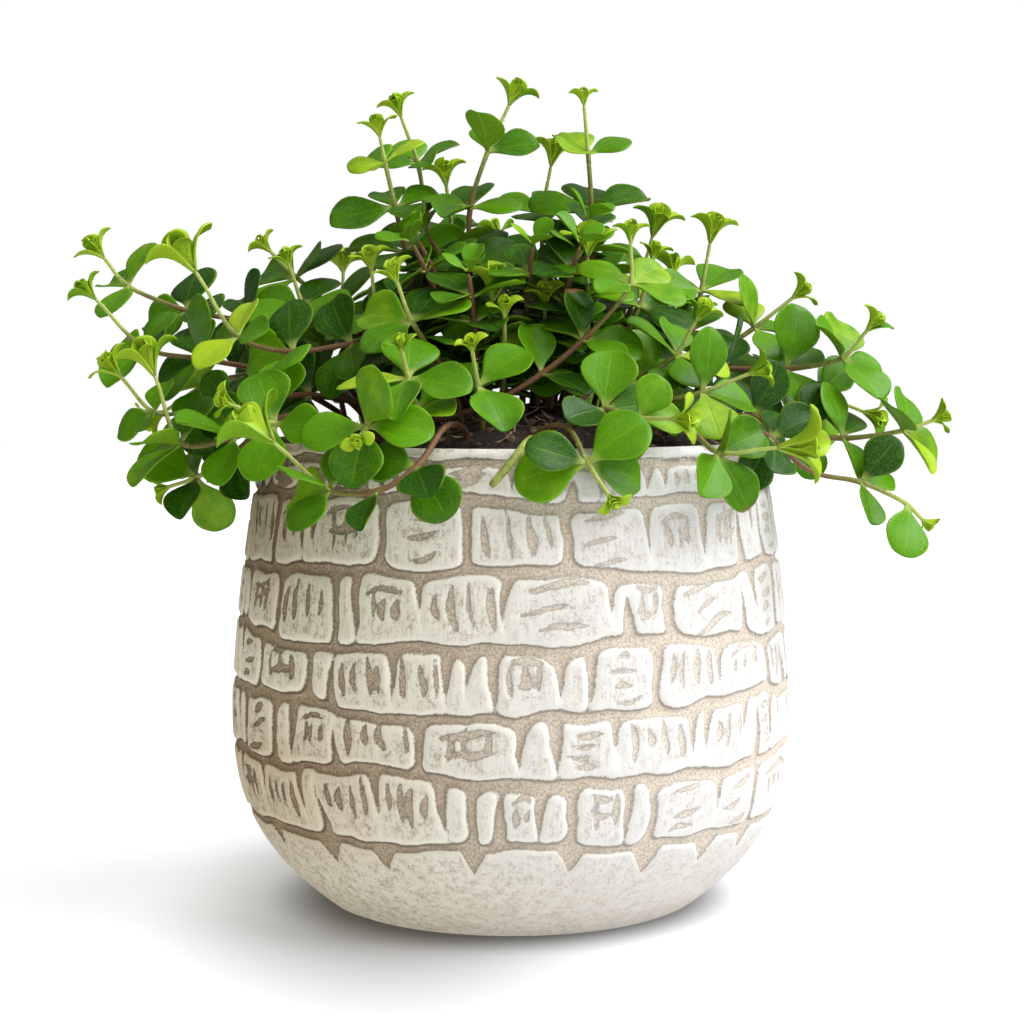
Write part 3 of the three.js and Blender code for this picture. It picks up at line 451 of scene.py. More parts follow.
def leaf_underside(plant):
    """The lower face: paler and matt, with a raised midrib."""
    paint = Paint("leaf underside")
    colour = paint.blend(0.4, leaf_colour(paint, plant), UNDERSIDE)
    _, side, _ = paint.parts(paint.attribute("spot", "Vector"))
    rib = paint.step(paint.math("ABSOLUTE", side), 0.0, 0.1, 1.0, 0.0)
    colour = paint.blend(paint.times(rib, 0.5), colour, RIB)
    colour = paint.blend(paint.step(paint.grain(1500, 2), 0.45, 0.7, 0.0, 0.3), colour, RIB)
    return paint.finish(
        Base_Color=colour, Roughness=0.66, Normal=paint.bump(rib, 0.15 * MM), IOR=UNDERSIDE_IOR)


def stem_skin(plant):
    """Pale green where it is young, and browner and streaked towards the root."""
    paint = Paint("stem skin")
    streak = paint.grain(420, 3, 0.6)
    shifted = drifted(paint, paint.attribute("age"), streak, 0.5)
    colour = paint.blend(paint.step(shifted, 0.12, 0.4), plant.young_stem, HALF_GROWN_STEM)
    colour = paint.blend(paint.step(shifted, 0.3, 0.62), colour, plant.old_stem)
    colour = paint.blend(paint.step(shifted, 0.75, 1.1, 0.0, 0.5), colour, darker(plant.old_stem, 0.4))
    return paint.finish(Base_Color=colour, Roughness=0.55, Normal=paint.bump(streak, 0.2 * MM), IOR=1.3)


def pale_hair(plant):
    paint = Paint("pale hair")
    return paint.finish(Base_Color=paint.blend(paint.attribute("age"), YOUNG_HAIR, OLD_HAIR), Roughness=0.5)


# ---- Meshes into pieces


def as_mesh(name, shape):
    """A mesh from a bmesh, which is freed."""
    mesh = bpy.data.meshes.new(name)
    shape.to_mesh(mesh)
    shape.free()
    return mesh


def put_in_scene(name, data):
    item = bpy.data.objects.new(name, data)
    bpy.context.scene.collection.objects.link(item)
    return item


def make_piece(name, shape, materials, replaced=()):
    """A finished piece from a bmesh: shaded smooth, riding on the body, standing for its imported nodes."""
    mesh = as_mesh(name, shape)
    for material in materials:
        mesh.materials.append(material)
    mesh.shade_smooth()
    piece = put_in_scene(name, mesh)
    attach(piece, BODY)
    if replaced:
        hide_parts(*replaced)
    return piece


def smooth_out(piece):
    """One level of subdivision, the same in the view as in the render."""
    modifier = piece.modifiers.new("Smooth skin", "SUBSURF")
    modifier.levels = modifier.render_levels = 1


def to_metres(shape):
    bmesh.ops.scale(shape, vec=(MM, MM, MM), verts=shape.verts)


SAME_SPOT = 0.01
SAME_LEVEL = 1e-4
SAME_RADIUS = 1e-3


def spun(profile, steps, cuts):
    """A closed turned shape from a profile of (radius, height) that starts and ends on the axis.

    Each step of the spin is cut into finer ones, and the cuts are pushed out to the round.
    """
    shape = bmesh.new()
    points = [shape.verts.new((radius, 0.0, height)) for radius, height in profile]
    lines = [shape.edges.new(pair) for pair in zip(points, points[1:])]
    bmesh.ops.spin(
        shape, geom=points + lines, cent=(0, 0, 0), axis=(0, 0, 1), angle=TURN, steps=steps, use_merge=True)
    bmesh.ops.remove_doubles(shape, verts=shape.verts, dist=SAME_SPOT)
    # The cuts go into the edges that run level round the shape
    level = []
    for edge in shape.edges:
        one, two = (point.co for point in edge.verts)
        if abs(one.z - two.z) < SAME_LEVEL and abs(one.xy.length - two.xy.length) < SAME_RADIUS:
            level.append(edge)
    bmesh.ops.subdivide_edges(shape, edges=level, cuts=cuts, use_grid_fill=True)
    part = TURN / steps
    for point in shape.verts:
        off = math.atan2(point.co.y, point.co.x) % part - part / 2
        push = math.cos(off) / math.cos(part / 2)
        point.co.x *= push
        point.co.y *= push
    bmesh.ops.recalc_face_normals(shape, faces=shape.faces)
    return shape


# ---- The carved pot


# The pattern's sizes in millimetres: the groove lines round the wall, from the lowest, how much they
# wave, then the blocks, their joints and slots, and the lip
LINE_HEIGHTS = (28.4, 46.9, 63.7, 80.6, 99.0, 118.5, 128.0)
LINE_WAVES = (0.6, 1.1, 1.0, 1.1, 1.2, 0.8, 0.0)
BLOCKS_PER_ROW = 21
JOINT_DRIFT = 0.17
MOUTH = 1.8
LOWER_CURVE = 2.9
UPPER_CURVE = 1.5
NOTCH = 6.5
NOTCH_WIDTH = 3.6
SLOT_SHARE = 0.42
SHUT_CORNER = 0.8
LIP_ROUND = 1.6
LIP_WIDTH = 3.0
ROW_HEIGHT = 0.92
FLOOR = 6.0
FAR = 9.0
BLOCK_INSET = 1.6
SLOT_EDGE = 0.8
SLOT_ROOM = 1.2
BESIDE_EDGE = 2.0
UNDER_STEP = 0.7
ON_WALL = 0.5
OUTER_SKIN = 2.0
WOBBLE = 0.3


def pot_radius(pot, z):
    if z < pot.belly_height:
        drop = ((pot.belly_height - z) / pot.belly_height) ** LOWER_CURVE
        return pot.belly_radius - (pot.belly_radius - pot.foot_radius) * drop
    rise = ((z - pot.belly_height) / (pot.rim_height - pot.belly_height)) ** UPPER_CURVE
    return pot.belly_radius - (pot.belly_radius - pot.rim_radius) * rise


def line_height(line, angle):
    wave = math.sin(3 * angle + 1.7 * line) + 0.6 * math.sin(7 * angle + 2.9 * line)
    return LINE_HEIGHTS[line] + LINE_WAVES[line] * wave


def upright_strokes(draw, half):
    """Cuts from the top downwards, a little fanned: (start, end, half width, bend).

    Wide blocks have four of them, narrow ones two.
    """
    count = 2 if half[0] < 4 else 3 if half[0] < 7 else 4
    fan = mix(-0.14, 0.14, next(draw))
    strokes = []
    for k in range(count):
        u = half[0] * mix(-0.72, 0.72, (k + mix(-0.15, 0.15, next(draw))) / (count - 1))
        high = half[1] * mix(0.5, 0.95, next(draw))
        low = -half[1] * mix(0.15, 0.75, next(draw))
        width = mix(0.7, 1.2, next(draw))
        strokes.append(((u, high), (u + fan * (high - low), low), width, mix(-0.7, 0.7, next(draw))))
    return strokes


def level_strokes(draw, half):
    """Cuts across the block, one above the other."""
    count = 3 + (next(draw) > 0.5)
    tilt = mix(-0.05, 0.32, next(draw))
    strokes = []
    for k in range(count):
        v = half[1] * mix(0.68, -0.72, (k + mix(-0.2, 0.2, next(draw))) / (count - 1))
        left = half[0] * mix(-0.8, -0.25, next(draw))
        right = half[0] * mix(0.2, 0.8, next(draw))
        lean = tilt * (right - left) / 2
        width = mix(0.65, 1.15, next(draw))
        strokes.append(((left, v - lean), (right, v + lean), width, mix(-0.9, 0.9, next(draw))))
    return strokes


def crossed_strokes(draw, half):
    return upright_strokes(draw, (0.6 * half[0], 0.9 * half[1]))[:3] + level_strokes(draw, half)[:2]


def arched_strokes(draw, half):
    """One bowed cut under the top edge, with short upright ones below it."""
    bow = ((-0.65 * half[0], 0.5 * half[1]), (0.65 * half[0], 0.5 * half[1]), mix(0.7, 1.0, next(draw)), 1.6)
    return [bow] + upright_strokes(draw, (0.62 * half[0], 0.55 * half[1]))[:3]


STROKES = ((0.4, upright_strokes), (0.66, level_strokes), (0.86, crossed_strokes), (1.0, arched_strokes))


class Block:
    """The marks of one raised block: uneven edges, round corners, tapering slots, and cuts."""

    def __init__(self, draw, half, joints):
        self.joints = joints
        self.top, self.foot = mix(0.0, 1.3, next(draw)), mix(0.0, 0.5, next(draw))
        ends = (joints[0][0], joints[1][0], joints[0][1], joints[1][1])
        self.corners = [SHUT_CORNER if end < -1 else mix(2.4, 4.6, next(draw)) for end in ends]
        left, right, self.slots = -half[0], half[0], []
        for side in (-1, 1):
            if next(draw) < SLOT_SHARE:
                place = side * half[0] * mix(0.34, 0.56, next(draw))
                left, right = (place + SLOT_ROOM, right) if side < 0 else (left, place - SLOT_ROOM)
                width, reach = mix(1.3, 2.0, next(draw)), mix(0.62, 0.88, next(draw))
                from_top, lean = next(draw) > 0.28, mix(-1.4, 1.4, next(draw))
                self.slots.append((place, width, reach, from_top, lean))
        kind = next(draw)
        choose = next(way for share, way in STROKES if kind <= share)
        middle = Vector(((left + right) / 2, 0.0))
        self.strokes = [(Vector(start) + middle, Vector(end) + middle, width, bend)
                        for start, end, width, bend in choose(draw, ((right - left) / 2, half[1]))]

    def inside(self, spot, half):
        """How far a spot is inside the block's face, slots taken out, in millimetres."""
        low, high = self.joints[spot.x > 0]
        corner = self.corners[(spot.x > 0) + 2 * (spot.y > 0)]
        dx = abs(spot.x) - half.x + mix(low, high, spot.y / (2 * half.y) + 0.5) + corner
        dy = abs(spot.y) - half.y + (self.top if spot.y > 0 else self.foot) + corner
        face = corner - math.hypot(max(dx, 0.0), max(dy, 0.0)) - min(max(dx, dy), 0.0)
        for place, width, reach, from_top, lean in self.slots:
            depth = max(half.y - spot.y if from_top else half.y + spot.y, 0.0) / (2 * half.y * reach)
            beside = abs(spot.x - place - lean * depth) - width * (1 - depth ** 1.5)
            face = soft_least(face, beside + SLOT_EDGE, MOUTH)
        return face

    def inside_cut(self, spot):
        return max(inside_stroke(spot, stroke) for stroke in self.strokes)


def soft_least(one, two, reach):
    """The lesser of two distances, with their corner rounded."""
    share = max(reach - abs(one - two), 0.0) / reach
    return min(one, two) - share * share * reach / 4


def inside_stroke(spot, stroke):
    """How far a spot is inside a cut that runs thin at its far end."""
    start, end, width, bend = stroke
    run = end - start
    share = min(max((spot - start).dot(run) / run.length_squared, 0.0), 1.0)
    side = Vector((-run.y, run.x)).normalized()
    nearest = start + run * share + side * bend * 4 * share * (1 - share)
    taper = (4 * share * (1 - share)) ** 0.7 if share > 0.35 else 0.45 + 1.3 * share
    return width * min(taper, 1.0) - (spot - nearest).length


def new_joint(draw):
    """How much wider than a groove a joint is at its foot and at its top.

    Where that is well below nothing, the two blocks join.
    """
    kind, wide, shut = next(draw), mix(0.2, 1.1, next(draw)), mix(-2.0, -1.2, next(draw))
    if kind < 0.34:
        return shut, wide
    return (wide, shut) if kind < 0.46 else (0.2 * wide, 0.6 * wide)


class CarvedWall:
    """The pattern on the wall: for a spot, how far inside a raised block it is, and inside a cut."""

    def __init__(self, pot):
        self.pot = pot
        draw = draws(pot.seed)
        self.joints = [
            [TURN * (k + 0.25 + 0.5 * (row % 2) + (2 * next(draw) - 1) * JOINT_DRIFT) / BLOCKS_PER_ROW
             for k in range(BLOCKS_PER_ROW)]
            for row in range(len(LINE_HEIGHTS) - 1)]
        widths = [[new_joint(draw) for _ in row] for row in self.joints]
        self.blocks = [[self.new_block(draw, row, k, (widths[row][k], widths[row][(k + 1) % BLOCKS_PER_ROW]))
                        for k in range(BLOCKS_PER_ROW)] for row in range(len(self.joints))]

    def new_block(self, draw, row, k, widths):
        joints = self.joints[row]
        width = (joints[(k + 1) % BLOCKS_PER_ROW] - joints[k]) % TURN
        middle = (LINE_HEIGHTS[row] + LINE_HEIGHTS[row + 1]) / 2
        half = (width * pot_radius(self.pot, middle) / 2 - BLOCK_INSET,
                (LINE_HEIGHTS[row + 1] - LINE_HEIGHTS[row]) / 2 - BLOCK_INSET)
        return Block(draw, half, widths)

    def row_at(self, angle, z):
        for line in range(len(LINE_HEIGHTS)):
            if z < line_height(line, angle):
                return line - 1
        return len(LINE_HEIGHTS) - 1

    def notch(self, angle):
        """How far the lowest groove dips below its line, under a joint."""
        reach = NOTCH_WIDTH / pot_radius(self.pot, LINE_HEIGHTS[0])
        gap = min(abs((joint - angle + math.pi) % TURN - math.pi) for joint in self.joints[0])
        return NOTCH * max(0.0, 1 - gap / reach)

    def block_spot(self, row, angle, z):
        """The block that a spot of a row is in, the spot seen from its middle, and half its size."""
        joints = self.joints[row]
        k = bisect.bisect_right(joints, angle) - 1
        start = joints[k] if k >= 0 else joints[-1] - TURN
        end = joints[k + 1] if k + 1 < len(joints) else joints[0] + TURN
        radius = pot_radius(self.pot, z)
        low, high = line_height(row, angle), line_height(row + 1, angle)
        spot = Vector(((angle - (start + end) / 2) * radius, z - (low + high) / 2))
        half = Vector(((end - start) / 2 * radius, (high - low) / 2))
        return self.blocks[row][k % BLOCKS_PER_ROW], spot, half

    def face_at(self, angle, z):
        """How far inside a raised block, in millimetres."""
        row = self.row_at(angle, z)
        if row < 0:
            return line_height(0, angle) - self.notch(angle) - z - self.pot.groove
        if row >= len(self.joints):
            return z - line_height(row, angle) - 0.4
        block, spot, half = self.block_spot(row, angle, z)
        return block.inside(spot, half) - self.pot.groove

    def cut_at(self, angle, z):
        """How far inside a cut, in millimetres."""
        row = self.row_at(angle, z)
        if row < 0 or row >= len(self.joints):
            return -FAR
        block, spot, _ = self.block_spot(row, angle, z)
        return block.inside_cut(spot)


def pot_profile(pot):
    """From the middle of the foot, up the outside, over the lip and down the inside to the floor."""
    lip = pot.rim_height - LIP_ROUND
    rows = round(lip / ROW_HEIGHT)
    outside = [(pot_radius(pot, lip * k / rows), lip * k / rows) for k in range(1, rows + 1)]
    outer = pot.rim_radius - LIP_ROUND / 2
    crown = [(outer + 0.55 * LIP_ROUND * math.cos(angle) - 0.5, lip + LIP_ROUND * math.sin(angle))
             for angle in (0.5, 1.0, 1.35)]
    crown += [(outer - LIP_WIDTH * share, pot.rim_height) for share in (0.25, 0.6)]
    crown += [(outer - LIP_WIDTH - 0.35, pot.rim_height - 0.3), (outer - LIP_WIDTH - 1.0, lip)]
    inside = [(pot_radius(pot, z) - pot.wall, z) for z in (118.0, 95.0, 58.0, 32.0, 15.0, 8.0)]
    foot = [(0.0, 0.0)]
    foot += [(pot.foot_radius - back, height) for back, height in ((6.0, 0.0), (0.9, 0.0), (0.1, 0.35))]
    return foot + outside + crown + inside + [(30.0, FLOOR), (0.0, FLOOR)]


def carve(shape, pot):
    """Sinks the grooves and the cuts into the outer wall, and notes on each point how deep it lies."""
    noise.seed_set(pot.seed)
    wall = CarvedWall(pot)
    layers = {name: shape.verts.layers.float.new(name) for name in ("edge", "stroke", "under")}
    for point in shape.verts:
        x, y, z = point.co
        radius = math.hypot(x, y)
        values = (FAR, -FAR, 0.5)
        if ON_WALL < z < pot.rim_height - 0.5 * LIP_ROUND and radius > pot_radius(pot, z) - OUTER_SKIN:
            values = wall_marks(wall, Vector((x, y, z)))
            raised = smooth_step(-0.7, 1.0, values[0])
            depth = pot.relief * (1 - raised) + pot.stroke_depth * raised * smooth_step(-0.5, 0.5, values[1])
            scale = (radius - depth + WOBBLE * noise.noise(point.co * 0.07)) / radius
            point.co = (x * scale, y * scale, z)
        for name, value in zip(layers, values):
            point[layers[name]] = value


def wall_marks(wall, spot):
    """(inside a block, inside a cut, how far it lies under a block's lower edge, where the painted shadow
    line falls) of a spot on the wall.
    """
    wave = noise.noise_vector(spot * 0.1) * 1.6 + noise.noise_vector(spot * 0.4) * 0.3
    angle = (math.atan2(spot.y, spot.x) + wave.x / spot.xy.length) % TURN
    z = spot.z + wave.z
    inside = wall.face_at(angle, z)
    under = 0.5
    if abs(inside) < BESIDE_EDGE:
        under = min(max(0.5 + 0.7 * (wall.face_at(angle, z + UNDER_STEP) - inside), 0.0), 1.0)
    return inside, wall.cut_at(angle, z), under


class PLANT_OT_carved_pot(bpy.types.Operator):
    """Turn the pot and carve its wall of raised blocks"""

    bl_idname = "plant.carved_pot"
    bl_label = "Carved pot"

    def execute(self, context):
        pot = context.scene.plant_pot
        shape = spun(pot_profile(pot), pot.steps, pot.cuts)
        carve(shape, pot)
        to_metres(shape)
        make_piece("carved_pot", shape, [washed_clay(pot)], ["pot"])
        return {"FINISHED"}


# ---- The potting soil


SOIL_STEPS = 42
SOIL_CUTS = 3
SOIL_ROWS = 46
SEAT_GAP = 0.3
LITTER_SEED = 19
LITTER_MARGIN = 3.0
SETTLE_REACH = 4.0


def soil_height(soil, x, y):
    return soil.edge_height + soil.mound * (1 - (x * x + y * y) / soil.radius ** 2)


def soil_rise(x, y):
    """How far the crumbly surface stands above or below the even mound, in millimetres."""
    spot = Vector((x, y, 0.0))
    return (1.3 * noise.noise(spot * 0.09) + 0.9 * noise.noise(spot * 0.31)
            + 0.6 * noise.noise(spot * 0.8) + 0.25 * noise.noise(spot * 1.9))


def soil_profile(pot, soil):
    wall = pot_radius(pot, soil.edge_height) - pot.wall - SEAT_GAP
    sides = [(pot_radius(pot, z) - pot.wall - SEAT_GAP, z) for z in (FLOOR + SEAT_GAP, 20.0, 58.0, 100.0)]
    top = [(wall * (1 - k / SOIL_ROWS), soil.edge_height) for k in range(SOIL_ROWS)]
    return [(0.0, FLOOR + SEAT_GAP)] + sides + top + [(0.0, soil.edge_height)]


def heap_up(shape, soil):
    for point in shape.verts:
        if point.co.z > soil.edge_height - 1.0:
            x, y, _ = point.co
            settle = smooth_step(0.0, SETTLE_REACH, soil.radius - math.hypot(x, y))
            point.co.z = soil_height(soil, x, y) + settle * soil_rise(x, y)


def scatter(shape, template, soil, count, draw, sizes, sink, palest):
    """Copies of a template strewn over the soil, turned at random and half sunk, none paler than palest."""
    tone = shape.verts.layers.float["tone"]
    for _ in range(count):
        radius = (soil.radius - LITTER_MARGIN) * math.sqrt(next(draw))
        angle = TURN * next(draw)
        x, y = radius * math.cos(angle), radius * math.sin(angle)
        size = mix(*sizes, next(draw))
        place = Vector((x, y, soil_height(soil, x, y) + soil_rise(x, y) + sink * size))
        turn = Matrix.Rotation(TURN * next(draw), 4, "Z")
        turn = turn @ Matrix.Rotation(mix(-0.5, 0.5, next(draw)), 4, "Y")
        sizing = Matrix.Diagonal((size, size * mix(0.7, 1.2, next(draw)), size, 1))
        shade = palest * next(draw)
        for point in add_copy(shape, template, Matrix.Translation(place) @ turn @ sizing):
            point[tone] = shade


def add_copy(shape, template, matrix):
    """Adds a template mesh to a shape, placed by a matrix, and returns its points."""
    before = len(shape.verts)
    shape.from_mesh(template)
    shape.verts.ensure_lookup_table()
    made = shape.verts[before:]
    bmesh.ops.transform(shape, matrix=matrix, verts=made)
    return made


def crumb_template():
    shape = bmesh.new()
    bmesh.ops.create_icosphere(shape, subdivisions=1, radius=1.0)
    for point in shape.verts:
        point.co *= 1 + 0.6 * noise.noise(point.co * 1.7)
        point.co.z *= 0.65
    return as_mesh("crumb", shape)


def fibre_template():
    """A thin curled strip."""
    shape = bmesh.new()
    bmesh.ops.create_grid(shape, x_segments=5, y_segments=1, size=1.0)
    for point in shape.verts:
        x, y, _ = point.co
        point.co = (x, 0.09 * y * (1.2 - x * x) + 0.25 * math.sin(2.2 * x), 0.22 * x * x + 0.05 * y)
    bmesh.ops.solidify(shape, geom=shape.faces[:], thickness=0.05)
    bmesh.ops.recalc_face_normals(shape, faces=shape.faces)
    return as_mesh("fibre", shape)


class PLANT_OT_potting_soil(bpy.types.Operator):
    """Fill the pot with damp peat, with loose crumbs and dry fibres on it"""

    bl_idname = "plant.potting_soil"
    bl_label = "Potting soil"

    def execute(self, context):
        pot, soil = context.scene.plant_pot, context.scene.plant_soil
        shape = spun(soil_profile(pot, soil), SOIL_STEPS, SOIL_CUTS)
        heap_up(shape, soil)
        to_metres(shape)
        make_piece("peat_soil", shape, [damp_peat(soil)], ["soil"])
        draw = draws(LITTER_SEED)
        litter = bmesh.new()
        litter.verts.layers.float.new("tone")
        scatter(litter, crumb_template(), soil, soil.crumbs, draw, (0.4, 1.5), 0.1, 0.3)
        scatter(litter, fibre_template(), soil, soil.fibres, draw, (1.2, 4.2), 0.06, 1.0)
        to_metres(litter)
        make_piece("peat_crumbs_and_fibres", litter, [dry_fibre(soil)])
        return {"FINISHED"}


# ---- Reading a packed stem


ROOT_REACH = 62.0 * MM
RING_SIDES = 4


def in_order(points):
    """The points of a set as a list, in an order that is the same in every run."""
    return sorted(points, key=lambda point: point.index)


class PackedStem:
    """The rings and blades of a packed stem or shoot tip, read from its mesh, in metres."""

    def __init__(self, node, start_order):
        self.shape = bmesh.new()
        self.shape.from_mesh(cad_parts[node].data)
        bmesh.ops.remove_doubles(self.shape, verts=self.shape.verts, dist=LENGTH_SLACK)
        self.shape.verts.index_update()
        self.posts = [edge for edge in self.shape.edges
                      if abs(edge.calc_length() - BLADE_THICKNESS) < LENGTH_SLACK]
        self.blade_points = {point for post in self.posts for point in post.verts}
        self.tube = [point for point in self.shape.verts
                     if point not in self.blade_points and not self.around(point) <= self.blade_points]
        self.rings = self.walk_rings(sorted(self.tube, key=start_order)[:RING_SIDES])
        self.collars = [(one + two) / 2 for (one, _), (two, _) in zip(self.rings, self.rings[1:])
                        if abs((two - one).length - COLLAR_HEIGHT) < COLLAR_SLACK]
        self.blades = [self.read_blade(group) for group in self.blade_groups()]
        self.shape.free()
        del self.shape, self.posts, self.blade_points, self.tube

    @staticmethod
    def around(point):
        return {edge.other_vert(point) for edge in point.link_edges}

    def walk_rings(self, ring):
        """The tube's rings from its start to its end, as (middle, radius)."""
        tube, seen, rings = set(self.tube), set(), []
        while ring:
            middle = sum((point.co for point in ring), Vector()) / len(ring)
            rings.append((middle, max((point.co - middle).length for point in ring)))
            seen.update(ring)
            ring = in_order({other for point in ring for other in self.around(point)} & tube - seen)
        return rings

    def blade_groups(self):
        """The points of each blade together."""
        tube, left, groups = set(self.tube), set(self.blade_points), []
        while left:
            group, found = set(), {left.pop()}
            while found:
                group |= found
                found = {other for point in found for other in self.around(point)} - tube - group
            left -= group
            groups.append(in_order(group))
        return sorted(groups, key=lambda group: group[0].index)

    def read_blade(self, group):
        """A blade's own axes, length and width, worked back from its rows."""
        tube = set(self.tube)
        posts = [post for post in self.posts if post.verts[0] in group]
        near = [post for post in posts if any(self.around(point) & tube for point in post.verts)]
        sides = [(post.verts[0].co + post.verts[1].co) / 2 for post in near]
        middle = (sides[0] + sides[1]) / 2
        points = [point for point in group if point not in near[0].verts and point not in near[1].verts]
        end = sum((point.co for point in points), Vector()) / len(points)
        rows = YOUNG_ROWS if len(posts) == 2 else GROWN_ROWS
        post = (near[0].verts[1].co - near[0].verts[0].co).normalized()
        choices = [self.blade_frame(middle, end, up, rows) for up in (post, -post)]
        blade = min(choices, key=lambda choice: choice["off"])
        blade.update(width=(sides[0] - sides[1]).length, young=len(posts) == 2)
        return blade

    def blade_frame(self, middle, end, up, rows):
        (near, rise), (far, drop) = rows
        length = (end - middle).length / math.hypot(far - near, drop - rise)
        along = (end - middle - up * (drop - rise) * length) / ((far - near) * length)
        place = middle - along * near * length - up * rise * length
        off = min((place - collar).length for collar in self.collars)
        return {"place": place, "along": along, "up": up, "length": length, "off": off}


def from_the_soil(point):
    """Sorts the points of a stem with those of its root first."""
    x, y, z = point.co
    return z if math.hypot(x, y) < ROOT_REACH else 1.0


def read_plant():
    """All packed stems, and the shoot tips that stand on some of them, by their numbers."""
    stems = {name[-2:]: PackedStem(name, from_the_soil) for name in STEM_NODES}
    tips = {}
    for name in TIP_NODES:
        end = stems[name[-2:]].rings[-1][0]
        tips[name[-2:]] = PackedStem(name, lambda point: (point.co - end).length)
    return stems, tips


# ---- Leaves


LEAF_ROWS = 6
LEAF_COLUMNS = 4
HEART_LEAVES = 4
HEART_AGE = -0.12
GROWN_OUTLINE = ((0.0, 0.1), (0.13, 0.12), (0.25, 0.42), (0.4, 0.80), (0.6, 1.08), (0.8, 0.97), (1.0, 0.42))
YOUNG_OUTLINE = ((0.0, 0.3), (0.2, 0.42), (0.36, 0.74), (0.54, 1.12), (0.72, 1.28), (0.88, 1.06), (1.0, 0.45))
GROWN_STATIONS = (0.0, 0.13, 0.25, 0.41, 0.61, 0.81, 0.955)
YOUNG_STATIONS = (0.0, 0.2, 0.36, 0.54, 0.72, 0.88, 0.98)
GROWN_ARCH = ((0.0, 0.0), (0.13, 0.012), (0.3, 0.038), (0.58, 0.045), (0.8, 0.01), (1.0, -0.055))
# Cup, fold, wave and lean of each kind of leaf
GROWN_BENDS = ((0.05, 0.035, 0.012, 0.02), (0.09, 0.02, -0.016, -0.05), (-0.035, 0.05, 0.02, 0.05),
               (0.02, 0.03, -0.025, 0.09), (0.12, 0.045, 0.01, -0.02), (-0.06, 0.02, 0.014, -0.08))
YOUNG_BENDS = ((0.1, 0.06, 0.012, 0.03), (-0.05, 0.07, -0.016, -0.05), (0.16, 0.04, 0.0, 0.06))
YOUNG_THICKENING = 1.5
YOUNG_ARCH = ((0.0, 0.0), (0.2, 0.16), (0.36, 0.29), (0.54, 0.38), (0.72, 0.4), (0.88, 0.34), (1.0, 0.22))


def add_marks(shape):
    """What each point of the plant notes: its place on a leaf, its age, and the tone of its leaf."""
    shape.verts.layers.float_vector.new("spot")
    shape.verts.layers.float.new("age")
    shape.verts.layers.float.new("tone")


def leaf_template(name, outline, stations, arch, thickness, cup, fold, wave, lean):
    """A leaf one unit long and from -1 to 1 across: cupped, folded along its middle, waved and leaning."""
    shape = bmesh.new()
    bmesh.ops.create_grid(shape, x_segments=LEAF_ROWS, y_segments=LEAF_COLUMNS, size=1.0)
    bmesh.ops.solidify(shape, geom=shape.faces[:], thickness=thickness)
    bmesh.ops.recalc_face_normals(shape, faces=shape.faces)
    add_marks(shape)
    spot = shape.verts.layers.float_vector["spot"]
    for face in shape.faces:
        face.material_index = 1 if face.normal.z < -0.5 else 0
    for point in shape.verts:
        row = round((point.co.x + 1) / 2 * LEAF_ROWS)
        side, layer = point.co.y, point.co.z + thickness / 2
        along = stations[row]
        end = smooth_step(0.55, 1.0, along)
        broad = smooth_step(0.1, 0.5, along)
        height = from_rows(arch, along) + cup * broad * side * side - fold * broad * (1 - abs(side)) ** 2
        height += wave * broad * math.sin(5.3 * along + 2.2 * side) + lean * broad * side * (along - 0.3)
        point[spot] = (along, side, 0.0)
        across = from_rows(outline, along) * side * (1 - 0.1 * end * abs(side))
        point.co = (along + 0.06 * end * (1 - side * side), across, height + layer * mix(1.5, 1.0, broad))
    return as_mesh(name, shape)


def grown_templates(plant):
    return [leaf_template(f"grown leaf {k}", GROWN_OUTLINE, GROWN_STATIONS, GROWN_ARCH, plant.blade, *bend)
            for k, bend in enumerate(GROWN_BENDS)]


def young_templates(plant):
    thickness = YOUNG_THICKENING * plant.blade
    return [leaf_template(f"young leaf {k}", YOUNG_OUTLINE, YOUNG_STATIONS, YOUNG_ARCH, thickness, *bend)
            for k, bend in enumerate(YOUNG_BENDS)]


def add_leaf(shape, template, blade, age, tone):
    """Adds one leaf where its packed blade stands."""
    across = blade["up"].cross(blade["along"]) * blade["width"] / 2
    along, up = blade["along"] * blade["length"], blade["up"] * blade["length"]
    matrix = Matrix((along, across, up)).transposed().to_4x4()
    matrix.translation = blade["place"]
    points = add_copy(shape, template, matrix)
    ages, tones = (shape.verts.layers.float[name] for name in ("age", "tone"))
    for point in points:
        point[ages] = age
        point[tones] = tone


def add_folded_heart(shape, template, collar, point, size, draw):
    """Two pairs of small leaves in the middle of a bud: one pair just opening, the inner one nearly shut."""
    axis = (point - collar).normalized()
    side = Matrix.Rotation(TURN * next(draw), 3, axis) @ axis.orthogonal().normalized()
    for k in range(HEART_LEAVES):
        inner = k >= HEART_LEAVES / 2
        out = Matrix.Rotation(TURN * (k / 2 + inner / 4 + 0.05 * next(draw)), 3, axis) @ side
        opening = mix(0.1, 0.3, next(draw)) if inner else mix(0.35, 0.6, next(draw))
        along = (axis + out * opening).normalized()
        up = (-out - along * (-out).dot(along)).normalized()
        length = size * (mix(0.55, 0.7, next(draw)) if inner else mix(0.62, 0.85, next(draw)))
        place = collar + out * 0.2 * MM + axis * (0.25 * size if inner else 0.08 * size)
        blade = {"place": place, "along": along, "up": up, "length": length, "width": 0.62 * length}
        add_leaf(shape, template, blade, HEART_AGE, mix(0.35, 0.65, next(draw)))


# ---- Stems


UPWARDS = Vector((0, 0, 1))
STEM_SLOT = 2
AGE_REACH = 62.0 * MM
NODE_SWELL = 1.25
STEM_SPACING = 3.2 * MM
SWELL_REACH = 2.2 * MM
LET_IN = 2.2 * MM
THINNEST = 0.5 * MM
OLDEST = 1.15


